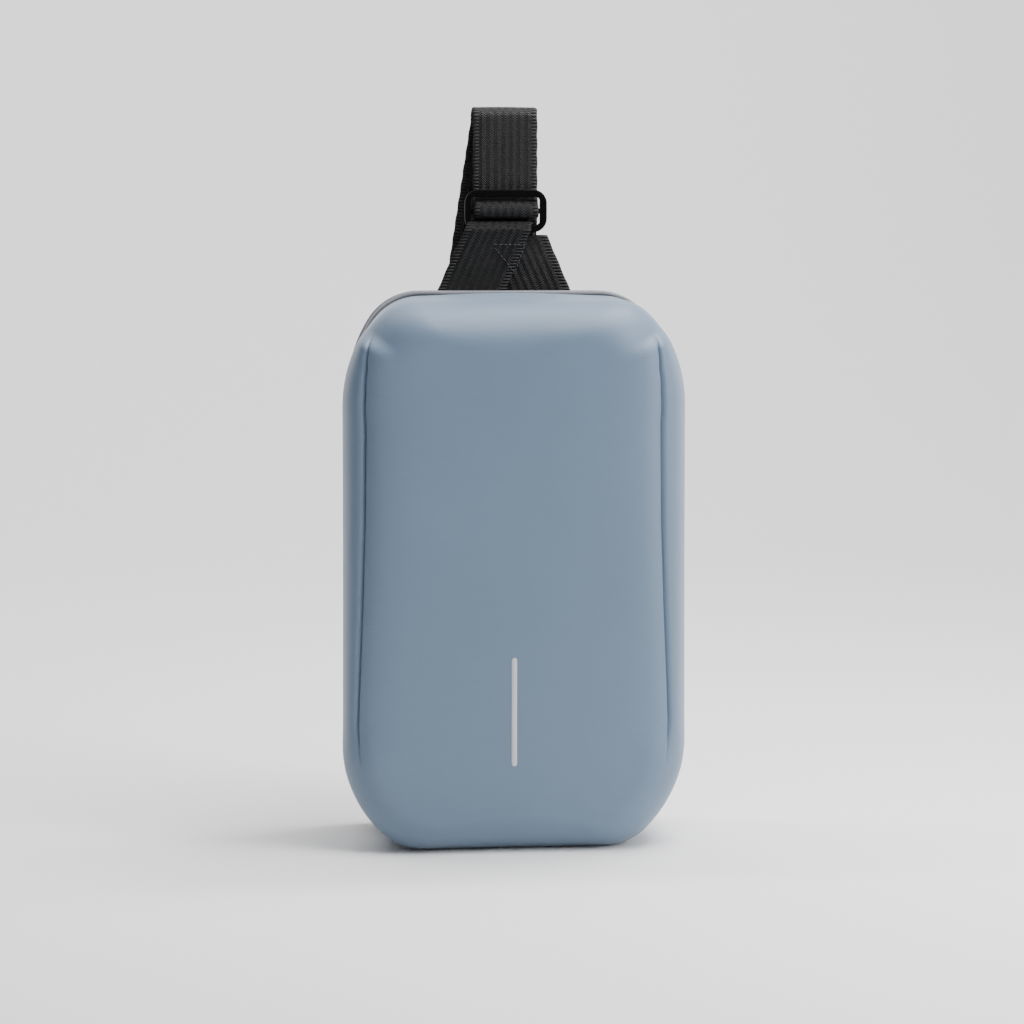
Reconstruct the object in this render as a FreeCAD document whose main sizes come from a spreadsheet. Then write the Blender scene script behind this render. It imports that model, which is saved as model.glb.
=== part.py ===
"""Crossbody sling bag: padded front shell, hinged back panel, zips, adjuster, strap and snap hook.

Frame: millimetres, +Z up, front of the bag facing -Y, origin on the floor under the middle of the base.
"""
import FreeCAD, Part
import math
import os
import Sketcher

Vector = FreeCAD.Vector
Constrain = Sketcher.Constraint
doc = FreeCAD.newDocument("sling_bag")
sheet = doc.addObject("Spreadsheet::Sheet", "dims")
nodes = []

DIMENSIONS = {
    # Outline of the padded front shell, and of the zipped seam behind it.
    "shell_width": 192, "shell_height": 306, "shell_base": 0,
    "shell_foot_flat": 80, "shell_foot_tight": 49, "shell_foot_long": 101,
    "shell_crown_flat": 96, "shell_crown_tight": 38.9, "shell_crown_long": 107,
    "seam_width": 182, "seam_height": 307.2, "seam_base": 0.8,
    "seam_foot_flat": 80, "seam_foot_tight": 43, "seam_foot_long": 93,
    "seam_crown_flat": 92, "seam_crown_tight": 38, "seam_crown_long": 91,
    # Layers from front to back, as places along Y and thicknesses.
    "front_face": -48, "shell_back": 14, "front_round": 20,
    "cover": 1.4, "foam": 3, "lining": 0.8, "ply_gap": 0.2, "mouth_lip": 8,
    "piping_radius": 1.5, "piping_front_y": 15.7, "piping_back_y": 48.4,
    "tape_front_start": 17.4, "tape_front_end": 30.2, "tape_rear_start": 31.8, "tape_rear_end": 40.4,
    "tape_inset": 0.8, "tape": 1.6, "coil_inset": 2.5, "coil": 1.2, "coil_width": 3, "coil_reach": 0.2,
    "zip_bottom": 40,
    "hinge_y": 31,
    "panel_lining_y": 33.6, "panel_lining": 0.6, "panel_lining_inset": 6,
    "board_y": 34.4, "board": 1.2, "board_inset": 8,
    "panel_foam_y": 35.8, "panel_foam": 5, "panel_foam_inset": 4,
    "pad_y": 44.8, "pad": 5.4, "pad_inset": 3.4, "pad_round": 2,
    # Fittings on the front and inside.
    "bar_width": 3, "bar_height": 60, "bar_thickness": 0.3, "bar_z": 79,
    "stiffener_width": 76, "stiffener_depth": 36, "stiffener": 1.5,
    "stiffener_corner": 4, "stiffener_back": 9.2,
    "sleeve_width": 140, "sleeve_height": 170, "sleeve_depth": 7.4, "sleeve_wall": 1.2, "sleeve_z": 42,
    "mesh_width": 124, "mesh_height": 108, "mesh_depth": 7, "mesh_wall": 1.1, "mesh_z": 46,
    "binding": 0.8, "binding_height": 10,
    # Webbing yoke, adjuster and shoulder strap.
    "webbing_width": 37, "webbing": 1.4,
    "yoke_left_y": 41.2, "yoke_right_y": 43, "yoke_bottom": 284, "yoke_top": 339.6,
    "yoke_left_foot": -32, "yoke_left_head": -4.8, "yoke_right_foot": 24.6, "yoke_right_head": 0.8,
    "leg_width": 39.6, "yoke_wrap": 1.4, "yoke_wrap_bore": 3, "yoke_head_width": 38,
    "adjuster_width": 47, "adjuster_height": 24.4, "adjuster_depth": 3.4, "adjuster_corner": 8,
    "adjuster_z": 353.2, "adjuster_y": 43, "slot_width": 39, "slot_height": 15.6, "slot_corner": 2,
    "centre_bar": 3, "glide_round": 0.8,
    "strap_front_y": 46.8, "strap_back_y": 58.6, "strap_top": 406,
    "tail_y": 52.4, "tail_end": 96, "tail_bend": 318,
    "weave_y": 5.6, "weave_low": 5.2, "window_y": 3, "window_z": 3.2, "weave_high": 6.6,
    "keeper_z": 132, "keeper_height": 18, "keeper": 1, "keeper_slack": 0.8, "keeper_corner": 1.6,
    # Snap hook, loop rings and their tabs.
    "hook_z": 70.5, "hook_x": -46, "hook_thickness": 5, "hook_outer": 15, "hook_inner": 8.4,
    "hook_length": 23, "gate_width": 2.4, "gate_length": 13, "gate_pin_z": 82.2, "gate_pin_radius": 0.7,
    "gate_slack": 0.4, "swivel_bar_z": 102, "swivel_wire": 3.4, "swivel_opening": 39, "swivel_height": 8,
    "collar_radius": 4, "collar_height": 3.6, "post_radius": 1.9, "post_fit": 0.25,
    "swivel_corner": 3, "swivel_window_corner": 1.2, "swivel_bore": 2.6, "swivel_gap": 0.2,
    "post_head": 1.2, "post_head_radius": 3.4, "post_root": 1.5, "gate_setback": 1.8, "gate_depth": 2.6,
    "hook_gap_top": 80, "hook_slot_top": 84.6,
    "ring_wire": 1.6, "ring_opening": 26, "ring_height": 15, "ring_z": 50, "ring_corner": 3,
    "tab_width": 24, "tab": 2.4, "tab_foot_z": 18, "tab_sewn": 12, "tab_bore": 1.9, "tab_gap": 0.2,
    # Zip slider and pull, in the slider's own frame: +X out of the tape, Z along the zip.
    "slider_gap": 0.3, "slider_length": 11, "slider_width": 8.4, "slider_plate": 1.2, "slider_corner": 2.6,
    "post_width": 0.8, "post_length": 3.4, "lug_gap": 2.8, "lug": 1, "lug_length": 3.6,
    "pin_radius": 0.7, "pin_out": 3.1, "eye_radius": 1.3, "eye_bore": 0.85, "eye_width": 2.4,
    "pull_neck": 2.2, "pull_thickness": 1.4, "pull_neck_end": 10, "pull_overlap": 1.5, "pull_corner": 3,
    "pull_width": 8, "pull_length": 30,
    "slider_z": 76,
    "pocket_x": 60, "pocket_z": 160, "pocket_length": 152, "pocket_slot": 16, "pocket_slider_z": 214,
    "pocket_tape_face": 49.6,
}

# Place along Y of the hook's gate.
GATE_Y = "dims.strap_back_y - dims.hook_outer / 2 + dims.gate_setback"


def fill_sheet():
    """Write every driving dimension as a plain number with a word for its alias."""
    for row, (alias, size) in enumerate(DIMENSIONS.items(), start=1):
        sheet.set(f"A{row}", str(size))
        sheet.setAlias(f"A{row}", alias)
    doc.recompute()


def number(expression):
    """Value that an expression on the sheet has now."""
    found = sheet.evalExpression(expression)
    return float(getattr(found, "Value", found))


def bind(target, **expressions):
    """Bind properties to the sheet; a double underscore stands for a dot in the property's path."""
    for path, expression in expressions.items():
        target.setExpression(path.replace("__", "."), expression)


def keep(part, label):
    """Name a finished sub-part, which is then written as one node."""
    part.Label = label
    nodes.append(part)
    return part


def new_body(name):
    return doc.addObject("PartDesign::Body", name)


def new_sketch(body, name, plane, centre, level):
    """Sketch on an origin plane of its body, moved to a centre in the plane and a level along its axis."""
    sketch = body.newObject("Sketcher::SketchObject", name)
    origin_plane = next(f for f in body.Origin.OriginFeatures if f.Role == plane)
    sketch.AttachmentSupport = (origin_plane, [""])
    sketch.MapMode = "FlatFace"
    normal_sign = "-1" if plane == "XZ_Plane" else "1"
    bind(sketch, AttachmentOffset__Base__x=centre[0], AttachmentOffset__Base__y=centre[1],
         AttachmentOffset__Base__z=f"{normal_sign} * ({level})")
    return sketch


def constrain(sketch, name, constraint, expression):
    index = sketch.addConstraint(constraint)
    sketch.renameConstraint(index, name)
    sketch.setExpression(f"Constraints.{name}", expression)


def arc(centre, radius, start, end):
    circle = Part.Circle(centre, Vector(0, 0, 1), radius)
    return Part.ArcOfCircle(circle, math.radians(start), math.radians(end))


def corner_arcs(flat, edge, half, tight, long, upward):
    """Two tangent arcs that turn a level edge into a straight side, on the right."""
    turn = math.degrees(math.asin((long - (half - flat)) / (long - tight)))
    away = 1 if upward else -1
    tight_centre = Vector(flat, edge - away * tight, 0)
    meeting = math.radians(90 - turn)
    reach = Vector(math.cos(meeting), away * math.sin(meeting), 0)
    long_centre = tight_centre + reach * (tight - long)
    if upward:
        return arc(long_centre, long, 0, 90 - turn), arc(tight_centre, tight, 90 - turn, 90)
    return arc(tight_centre, tight, -90, turn - 90), arc(long_centre, long, turn - 90, 0)


def mirrored(curve):
    """The same arc on the left, run the same way round the outline."""
    centre = Vector(-curve.Center.x, curve.Center.y, 0)
    start = 180 - math.degrees(curve.LastParameter)
    end = 180 - math.degrees(curve.FirstParameter)
    return arc(centre, curve.Radius, start, end)


def add_outline(sketch, family, inset, order=1, lift="0"):
    """Bag outline moved in by an inset: straight sides, two-arc corners, level foot and crown."""
    bottom = number(lift)
    flat_foot = number(f"dims.{family}_foot_flat / 2")
    flat_crown = number(f"dims.{family}_crown_flat / 2")
    half = number(f"dims.{family}_width / 2 - ({inset})")
    height = number(f"dims.{family}_height - 2 * ({inset})")
    top = bottom + height
    radii = {key: number(f"dims.{family}_{key} - ({inset})")
             for key in ("foot_tight", "foot_long", "crown_tight", "crown_long")}
    foot = corner_arcs(flat_foot, bottom, half, radii["foot_tight"], radii["foot_long"], False)
    crown = corner_arcs(flat_crown, top, half, radii["crown_tight"], radii["crown_long"], True)
    low = foot[1].Center.y
    high = crown[0].Center.y
    curves = [
        Part.LineSegment(Vector(-flat_foot, bottom, 0), Vector(flat_foot, bottom, 0)), foot[0], foot[1],
        Part.LineSegment(Vector(half, low, 0), Vector(half, high, 0)), crown[0], crown[1],
        Part.LineSegment(Vector(flat_crown, top, 0), Vector(-flat_crown, top, 0)),
        mirrored(crown[1]), mirrored(crown[0]),
        Part.LineSegment(Vector(-half, high, 0), Vector(-half, low, 0)),
        mirrored(foot[1]), mirrored(foot[0]),
    ]
    first = len(sketch.Geometry)
    sketch.addGeometry(curves, False)
    count = len(curves)
    ids = [first + index for index in range(count)]
    for index in range(count):
        sketch.addConstraint(Constrain("Tangent", ids[index], 2, ids[(index + 1) % count], 1))
    for index, key in ((1, "foot_tight"), (2, "foot_long"), (4, "crown_long"), (5, "crown_tight"),
                       (7, "crown_tight"), (8, "crown_long"), (10, "foot_long"), (11, "foot_tight")):
        constrain(sketch, f"{key}_{order}_{index}", Constrain("Radius", ids[index], radii[key]),
                  f"dims.{family}_{key} - ({inset})")
    sketch.addConstraint([Constrain("Vertical", ids[3]), Constrain("Vertical", ids[9])])
    sketch.addConstraint(Constrain("Symmetric", ids[0], 1, ids[0], 2, -2))
    sketch.addConstraint(Constrain("Symmetric", ids[6], 1, ids[6], 2, -2))
    constrain(sketch, f"foot_{order}", Constrain("DistanceX", ids[0], 1, ids[0], 2, 2 * flat_foot),
              f"dims.{family}_foot_flat")
    constrain(sketch, f"crown_{order}", Constrain("DistanceX", ids[6], 2, ids[6], 1, 2 * flat_crown),
              f"dims.{family}_crown_flat")
    constrain(sketch, f"right_{order}", Constrain("DistanceX", -1, 1, ids[3], 1, half),
              f"dims.{family}_width / 2 - ({inset})")
    constrain(sketch, f"left_{order}", Constrain("DistanceX", ids[9], 1, -1, 1, half),
              f"dims.{family}_width / 2 - ({inset})")
    constrain(sketch, f"top_{order}", Constrain("DistanceY", ids[0], 1, ids[6], 1, height),
              f"dims.{family}_height - 2 * ({inset})")
    if bottom:
        constrain(sketch, f"lift_{order}", Constrain("DistanceY", -1, 1, ids[0], 1, bottom), lift)
    else:
        sketch.addConstraint(Constrain("PointOnObject", ids[0], 1, -1))


def outline_pad(name, family, inset, start, depth, hole_inset=None):
    """Slab, or with a hole inset a ring, of the bag's outline between two places along Y."""
    body = new_body(name)
    foot = ("0", f"dims.{family}_base + ({inset})")
    sketch = new_sketch(body, f"{name}_outline", "XZ_Plane", foot, start)
    add_outline(sketch, family, inset)
    if hole_inset is not None:
        add_outline(sketch, family, hole_inset, 2, f"({hole_inset}) - ({inset})")
    pad = body.newObject("PartDesign::Pad", f"{name}_pad")
    pad.Profile = sketch
    pad.Reversed = True
    bind(pad, Length=depth)
    doc.recompute()
    return body


def round_edges(body, radius, chosen):
    """Fillet the edges of the body's tip that a test on the edge picks out."""
    tip = body.Tip
    names = [f"Edge{i}" for i, edge in enumerate(tip.Shape.Edges, start=1) if chosen(edge)]
    fillet = body.newObject("PartDesign::Fillet", f"{body.Name}_round")
    fillet.Base = (tip, names)
    bind(fillet, Radius=radius)
    doc.recompute()


def at_level(level, axis="y", tolerance=1e-4):
    """Test for edges that lie wholly at one level of an axis."""
    def chosen(edge):
        return all(abs(getattr(v.Point, axis) - level) < tolerance for v in edge.Vertexes)
    return chosen


def cut(name, base, tool):
    result = doc.addObject("Part::Cut", name)
    result.Base = base
    result.Tool = tool
    return result


def common(name, base, tool):
    result = doc.addObject("Part::Common", name)
    result.Base = base
    result.Tool = tool
    return result


def fuse(name, *shapes):
    result = doc.addObject("Part::MultiFuse", name)
    result.Shapes = list(shapes)
    return result


def block(name, size, corner):
    """Box with its lengths and its lowest corner bound to the sheet."""
    made = doc.addObject("Part::Box", name)
    bind(made, Length=size[0], Width=size[1], Height=size[2],
         Placement__Base__x=corner[0], Placement__Base__y=corner[1], Placement__Base__z=corner[2])
    return made


def add_rounded(sketch, sizes):
    """Nested rounded rectangles about the sketch's centre, each given as width, height and radius."""
    for order, (width, height, radius) in enumerate(sizes):
        first = 8 * order
        half_u = number(width) / 2
        half_v = number(height) / 2
        bend = number(radius)
        u = half_u - bend
        v = half_v - bend
        sketch.addGeometry([
            Part.LineSegment(Vector(-u, -half_v, 0), Vector(u, -half_v, 0)),
            arc(Vector(u, -v, 0), bend, -90, 0),
            Part.LineSegment(Vector(half_u, -v, 0), Vector(half_u, v, 0)), arc(Vector(u, v, 0), bend, 0, 90),
            Part.LineSegment(Vector(u, half_v, 0), Vector(-u, half_v, 0)),
            arc(Vector(-u, v, 0), bend, 90, 180),
            Part.LineSegment(Vector(-half_u, v, 0), Vector(-half_u, -v, 0)),
            arc(Vector(-u, -v, 0), bend, 180, 270),
        ], False)
        for index in range(8):
            sketch.addConstraint(Constrain("Tangent", first + index, 2, first + (index + 1) % 8, 1))
        sketch.addConstraint([Constrain("Horizontal", first), Constrain("Horizontal", first + 4),
                              Constrain("Vertical", first + 2), Constrain("Vertical", first + 6)])
        sketch.addConstraint([Constrain("Equal", first + 1, first + index) for index in (3, 5, 7)])
        sketch.addConstraint(Constrain("Symmetric", first + 7, 3, first + 3, 3, -1, 1))
        constrain(sketch, f"width{order}", Constrain("DistanceX", first + 7, 3, first + 1, 3, 2 * u),
                  f"{width} - 2 * ({radius})")
        constrain(sketch, f"height{order}", Constrain("DistanceY", first + 1, 3, first + 3, 3, 2 * v),
                  f"{height} - 2 * ({radius})")
        constrain(sketch, f"radius{order}", Constrain("Radius", first + 1, bend), radius)


def add_plate(body, name, plane, sizes, centre, level, depth):
    """Pad of rounded rectangles, from its level towards +X, +Y or +Z."""
    sketch = new_sketch(body, f"{name}_shape", plane, centre, level)
    add_rounded(sketch, sizes)
    pad = body.newObject("PartDesign::Pad", name)
    pad.Profile = sketch
    pad.Reversed = plane == "XZ_Plane"
    bind(pad, Length=depth)
    doc.recompute()
    return pad


def add_disc(body, name, plane, radius, centre, level, depth):
    """Pad of a circle, from its level towards +X, +Y or +Z."""
    sketch = new_sketch(body, f"{name}_shape", plane, centre, level)
    sketch.addGeometry(Part.Circle(Vector(0, 0, 0), Vector(0, 0, 1), number(radius)), False)
    sketch.addConstraint(Constrain("Coincident", 0, 3, -1, 1))
    constrain(sketch, "radius", Constrain("Radius", 0, number(radius)), radius)
    pad = body.newObject("PartDesign::Pad", name)
    pad.Profile = sketch
    pad.Reversed = plane == "XZ_Plane"
    bind(pad, Length=depth)
    doc.recompute()
    return pad


def add_polyline(sketch, points, closed):
    """Straight runs through points, each place along the two sketch axes bound to the sheet."""
    places = [Vector(number(u), number(v), 0) for u, v in points]
    ends = places[1:] + places[:1] if closed else places[1:]
    sketch.addGeometry([Part.LineSegment(start, end) for start, end in zip(places, ends)], False)
    runs = len(ends)
    for index in range(runs - 1 + closed):
        sketch.addConstraint(Constrain("Coincident", index, 2, (index + 1) % runs, 1))
    for index, (expressions, place) in enumerate(zip(points, places)):
        vertex = (index, 1) if index < runs else (index - 1, 2)
        for kind, expression, size in (("DistanceX", expressions[0], place.x),
                                       ("DistanceY", expressions[1], place.y)):
            name = f"{kind}{index}"
            if size < 0:
                constrain(sketch, name, Constrain(kind, *vertex, -1, 1, -size), f"-({expression})")
            else:
                constrain(sketch, name, Constrain(kind, -1, 1, *vertex, size), expression)


def add_polygon(body, name, plane, points, level, depth):
    """Pad of a straight-sided outline, from its level towards +X, +Y or +Z."""
    sketch = new_sketch(body, f"{name}_shape", plane, ("0", "0"), level)
    add_polyline(sketch, points, True)
    pad = body.newObject("PartDesign::Pad", name)
    pad.Profile = sketch
    pad.Reversed = plane == "XZ_Plane"
    bind(pad, Length=depth)
    doc.recompute()
    return pad


def add_pipe(body, name, spine, section):
    pipe = body.newObject("PartDesign::AdditivePipe", name)
    pipe.Profile = section
    pipe.Spine = (spine, [f"Edge{i}" for i in range(1, len(spine.Geometry) + 1)])
    doc.recompute()
    return pipe


def rounded_slab(name, inset, round_off):
    """Front part of the bag inside an inset, with its front edge rounded over."""
    front = f"dims.front_face + ({inset})"
    body = outline_pad(name, "shell", inset, front, f"dims.shell_back - dims.cover - ({front})")
    round_edges(body, round_off, at_level(number(front)))
    return body


def tub(label, outer_inset, inner_inset):
    """One ply of the padded front: walls and front between two insets, open at the back."""
    outer = rounded_slab(f"{label}_outside", outer_inset, f"dims.front_round - ({outer_inset})")
    inner = rounded_slab(f"{label}_inside", inner_inset, f"dims.front_round - ({inner_inset})")
    return keep(cut(f"{label}_ply", outer, inner), label)


def front_shell():
    """Coated fabric front with the narrow lip behind it, where it is sewn to the zip."""
    outer = outline_pad("shell_outside", "shell", "0", "dims.front_face", "dims.shell_back - dims.front_face")
    round_edges(outer, "dims.front_round", at_level(number("dims.front_face")))
    inner = rounded_slab("shell_inside", "dims.cover", "dims.front_round - dims.cover")
    hollow = cut("shell_hollow", outer, inner)
    mouth = outline_pad("shell_mouth", "shell", "dims.mouth_lip", "dims.shell_back - 2 * dims.cover",
                        "3 * dims.cover")
    keep(cut("shell_cover", hollow, mouth), "front_shell")


def front_plies():
    foam_start = "dims.cover + dims.ply_gap"
    foam_end = f"{foam_start} + dims.foam"
    lining_start = f"{foam_end} + dims.ply_gap"
    tub("foam_liner", foam_start, foam_end)
    tub("lining", lining_start, f"{lining_start} + dims.lining")


def piping(label, level, inset):
    """Round cord edging that follows the seam."""
    body = new_body(label)
    inset = f"({inset}) + dims.piping_radius"
    spine = new_sketch(body, f"{label}_path", "XZ_Plane", ("0", f"dims.seam_base + {inset}"), level)
    add_outline(spine, "seam", inset)
    section = new_sketch(body, f"{label}_section", "YZ_Plane", (level, f"dims.seam_base + {inset}"), "0")
    section.addGeometry(Part.Circle(Vector(0, 0, 0), Vector(0, 0, 1), number("dims.piping_radius")), False)
    section.addConstraint(Constrain("Coincident", 0, 3, -1, 1))
    constrain(section, "radius", Constrain("Radius", 0, number("dims.piping_radius")), "dims.piping_radius")
    add_pipe(body, f"{label}_cord", spine, section)
    keep(body, label)


def half_space(name, above):
    """Box that covers the bag above, or below, the level where the zip ends."""
    height = "dims.shell_height" if above else "dims.zip_bottom - dims.ply_gap + 1"
    low = "dims.zip_bottom" if above else "-1"
    return block(name, ("dims.shell_width + 2", "dims.shell_width", height),
                 ("-dims.shell_width / 2 - 1", "-dims.shell_width / 2", low))


def zip_side(side, tape_start, tape_end, coil_start):
    """Tape and coil of one side of the main zip, over the top and down both sides."""
    tape_width = f"({tape_end}) - ({tape_start})"
    tape = outline_pad(f"tape_{side}", "seam", "dims.tape_inset", tape_start, tape_width,
                       "dims.tape_inset + dims.tape")
    keep(common(f"tape_{side}_run", tape, half_space(f"tape_{side}_reach", True)), f"zip_tape_{side}")
    coil = outline_pad(f"coil_{side}", "seam", "dims.coil_inset", coil_start, "dims.coil_width",
                       "dims.coil_inset + dims.coil")
    keep(common(f"coil_{side}_run", coil, half_space(f"coil_{side}_reach", True)), f"zip_coil_{side}")


def gusset(label, start, end):
    """Plain strip that carries the seam round the foot of the bag, below the zip."""
    ring = outline_pad(f"{label}_ring", "seam", "dims.tape_inset", start, f"({end}) - ({start})",
                       "dims.tape_inset + dims.tape")
    keep(common(f"{label}_run", ring, half_space(f"{label}_reach", False)), label)


def panel_layers():
    """Lining, stiffener and foam of the back panel, one behind the other."""
    plies = {"panel_lining": "panel_lining", "panel_board": "board", "panel_foam": "panel_foam"}
    for label, key in plies.items():
        keep(outline_pad(label, "seam", f"dims.{key}_inset", f"dims.{key}_y", f"dims.{key}"), label)


def back_pad():
    """Air-mesh pad against the wearer's back, slotted for the pocket zip."""
    body = outline_pad("pad_slab", "seam", "dims.pad_inset", "dims.pad_y", "dims.pad")
    round_edges(body, "dims.pad_round", at_level(number("dims.pad_y + dims.pad")))
    slot = block("pad_slot", ("dims.pocket_slot", "dims.pad + 2", "dims.pocket_length"),
                 ("dims.pocket_x - dims.pocket_slot / 2", "dims.pad_y - 1",
                  "dims.pocket_z - dims.pocket_length / 2"))
    keep(cut("pad_slotted", body, slot), "back_pad")


def reflective_bar():
    body = new_body("bar")
    add_plate(body, "strip", "XZ_Plane", [("dims.bar_width", "dims.bar_height", "dims.bar_width * 0.49")],
              ("0", "dims.bar_z"), "dims.front_face - dims.bar_thickness", "dims.bar_thickness")
    keep(body, "reflective_bar")


def base_stiffener():
    body = new_body("stiffener")
    plies = "dims.cover + dims.foam + dims.lining + 3 * dims.ply_gap"
    add_plate(body, "board", "XY_Plane",
              [("dims.stiffener_width", "dims.stiffener_depth", "dims.stiffener_corner")],
              ("0", "dims.stiffener_back - dims.stiffener_depth / 2"), plies, "dims.stiffener")
    keep(body, "base_board")


def open_pocket(label, key, back):
    """Flat pocket, open at the top, that lies against the lining behind or before it."""
    half = f"dims.{key}_width / 2"
    outside = block(f"{label}_outside", (f"dims.{key}_width", f"dims.{key}_depth", f"dims.{key}_height"),
                    (f"-{half}", back, f"dims.{key}_z"))
    inside = block(f"{label}_inside",
                   (f"dims.{key}_width - 2 * dims.{key}_wall", f"dims.{key}_depth - 2 * dims.{key}_wall",
                    f"dims.{key}_height"),
                   (f"-{half} + dims.{key}_wall", f"{back} + dims.{key}_wall",
                    f"dims.{key}_z + dims.{key}_wall"))
    keep(cut(f"{label}_pocket", outside, inside), label)


def pocket_binding(label, key, face):
    """Tape folded over the free edge of a pocket."""
    strip = block(f"{label}_strip", (f"dims.{key}_width", "dims.binding", "dims.binding_height"),
                  (f"-dims.{key}_width / 2", face,
                   f"dims.{key}_z + dims.{key}_height - dims.binding_height"))
    keep(strip, label)


def interior():
    sleeve_back = "dims.front_face + dims.cover + dims.foam + dims.lining + 3 * dims.ply_gap"
    open_pocket("tablet_sleeve", "sleeve", sleeve_back)
    pocket_binding("sleeve_binding", "sleeve", f"{sleeve_back} + dims.sleeve_depth")
    open_pocket("mesh_pocket", "mesh", "dims.panel_lining_y - dims.mesh_depth")
    pocket_binding("mesh_binding", "mesh", "dims.panel_lining_y - dims.mesh_depth - dims.binding")


def yoke_leg(body, side, start):
    """One slanted leg of the yoke, from the adjuster down into the panel's top seam."""
    foot = f"dims.yoke_{side}_foot"
    head = f"dims.yoke_{side}_head"
    corners = [(f"{foot} - dims.leg_width / 2", "dims.yoke_bottom"),
               (f"{foot} + dims.leg_width / 2", "dims.yoke_bottom"),
               (f"{head} + dims.leg_width / 2", "dims.yoke_top"),
               (f"{head} - dims.leg_width / 2", "dims.yoke_top")]
    add_polygon(body, f"leg_{side}", "XZ_Plane", corners, start, "dims.webbing")


def rod(name, radius, length, centre):
    """Cylinder along X about a centre."""
    made = doc.addObject("Part::Cylinder", name)
    made.Placement.Rotation = FreeCAD.Rotation(Vector(0, 1, 0), 90)
    bind(made, Radius=radius, Height=length, Placement__Base__x=f"{centre[0]} - ({length}) / 2",
         Placement__Base__y=centre[1], Placement__Base__z=centre[2])
    return made


def tube(name, outer, bore, length, centre):
    """Short tube along X about a centre."""
    return cut(name, rod(f"{name}_outside", outer, length, centre),
               rod(f"{name}_bore", bore, f"{length} + 2", centre))


def strap_yoke():
    """Two webbing legs that share one loop round the adjuster's lower bar."""
    legs = []
    for side in ("left", "right"):
        body = new_body(f"yoke_{side}")
        yoke_leg(body, side, f"dims.yoke_{side}_y")
        legs.append(body)
    bar_z = "dims.adjuster_z - dims.adjuster_height / 4 - dims.slot_height / 4"
    loop = tube("yoke_loop", "dims.yoke_wrap_bore + dims.yoke_wrap", "dims.yoke_wrap_bore",
                "dims.yoke_head_width", ("0", "dims.adjuster_y", bar_z))
    keep(fuse("yoke_webbing", *legs, loop), "strap_yoke")


def strap_adjuster():
    """Three-bar glide: a frame with a centre bar across its window."""
    body = new_body("glide")
    low = "dims.adjuster_y - dims.adjuster_depth / 2"
    add_plate(body, "glide_frame", "XZ_Plane",
              [("dims.adjuster_width", "dims.adjuster_height", "dims.adjuster_corner"),
               ("dims.slot_width", "dims.slot_height", "dims.slot_corner")],
              ("0", "dims.adjuster_z"), low, "dims.adjuster_depth")
    add_plate(body, "glide_bar", "XZ_Plane", [("dims.slot_width + 2", "dims.centre_bar", "0.5")],
              ("0", "dims.adjuster_z"), low, "dims.adjuster_depth")
    round_edges(body, "dims.glide_round", lambda edge: edge.Length > 9 and at_level(number(low))(edge))
    keep(body, "strap_adjuster")


def shoulder_strap():
    """Webbing from its tail through the adjuster, over the top and down to the snap hook."""
    body = new_body("strap")
    glide = "dims.adjuster_z"
    spine = new_sketch(body, "strap_path", "YZ_Plane", ("0", "0"), "0")
    add_polyline(spine, [
        ("dims.tail_y", "dims.tail_end"), ("dims.tail_y", "dims.tail_bend"),
        ("dims.adjuster_y + dims.weave_y", f"{glide} - dims.weave_low"),
        ("dims.adjuster_y - dims.window_y", f"{glide} - dims.window_z"),
        ("dims.adjuster_y - dims.window_y", f"{glide} + dims.window_z"),
        ("dims.strap_front_y", f"{glide} + dims.weave_high"),
        ("dims.strap_front_y", "dims.strap_top"),
    ], False)
    section = new_sketch(body, "strap_section", "XY_Plane", ("0", "dims.tail_y"), "dims.tail_end")
    add_rounded(section, [("dims.webbing_width", "dims.webbing", "dims.webbing * 0.3")])
    pipe = add_pipe(body, "strap_run", spine, section)
    pipe.Transition = "Right corner"
    doc.recompute()
    middle = "(dims.strap_front_y + dims.strap_back_y) / 2"
    radius = "(dims.strap_back_y - dims.strap_front_y) / 2"
    fold = tube("strap_fold_tube", f"{radius} + dims.webbing / 2", f"{radius} - dims.webbing / 2",
                "dims.webbing_width", ("0", middle, "dims.strap_top"))
    cap = block("strap_fold_reach", ("dims.webbing_width + 2", f"2 * {radius} + 4", f"{radius} + 4"),
                ("-dims.webbing_width / 2 - 1", "dims.strap_front_y - 2", "dims.strap_top - 0.05"))
    half_width = "dims.webbing_width / 2"
    back = new_body("strap_back")
    add_polygon(back, "strap_back_run", "XZ_Plane", [
        (f"dims.hook_x - {half_width}", "dims.swivel_bar_z"),
        (f"dims.hook_x + {half_width}", "dims.swivel_bar_z"),
        (half_width, "dims.strap_top"), (f"-{half_width}", "dims.strap_top"),
    ], "dims.strap_back_y - dims.webbing / 2", "dims.webbing")
    wrap = tube("strap_end_loop", "dims.swivel_bore + dims.webbing", "dims.swivel_bore",
                "dims.webbing_width", ("dims.hook_x", "dims.strap_back_y", "dims.swivel_bar_z"))
    bar = rod("strap_end_space", "dims.swivel_bore", "dims.webbing_width + 4",
              ("dims.hook_x", "dims.strap_back_y", "dims.swivel_bar_z"))
    webbing = fuse("strap_webbing", body, common("strap_fold", fold, cap), back, wrap)
    keep(cut("strap_whole", webbing, bar), "shoulder_strap")


def strap_keeper():
    """Elastic band that holds the strap's tail flat against the pad."""
    body = new_body("keeper_band")
    add_plate(body, "keeper_loop", "XY_Plane",
              [("dims.webbing_width + 2 * dims.keeper_slack + 2 * dims.keeper", "3 * dims.webbing",
                "dims.keeper_corner"),
               ("dims.webbing_width + 2 * dims.keeper_slack", "3 * dims.webbing - 2 * dims.keeper", "0.5")],
              ("0", "dims.tail_y + 0.1"), "dims.keeper_z - dims.keeper_height / 2", "dims.keeper_height")
    keep(body, "strap_keeper")


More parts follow.
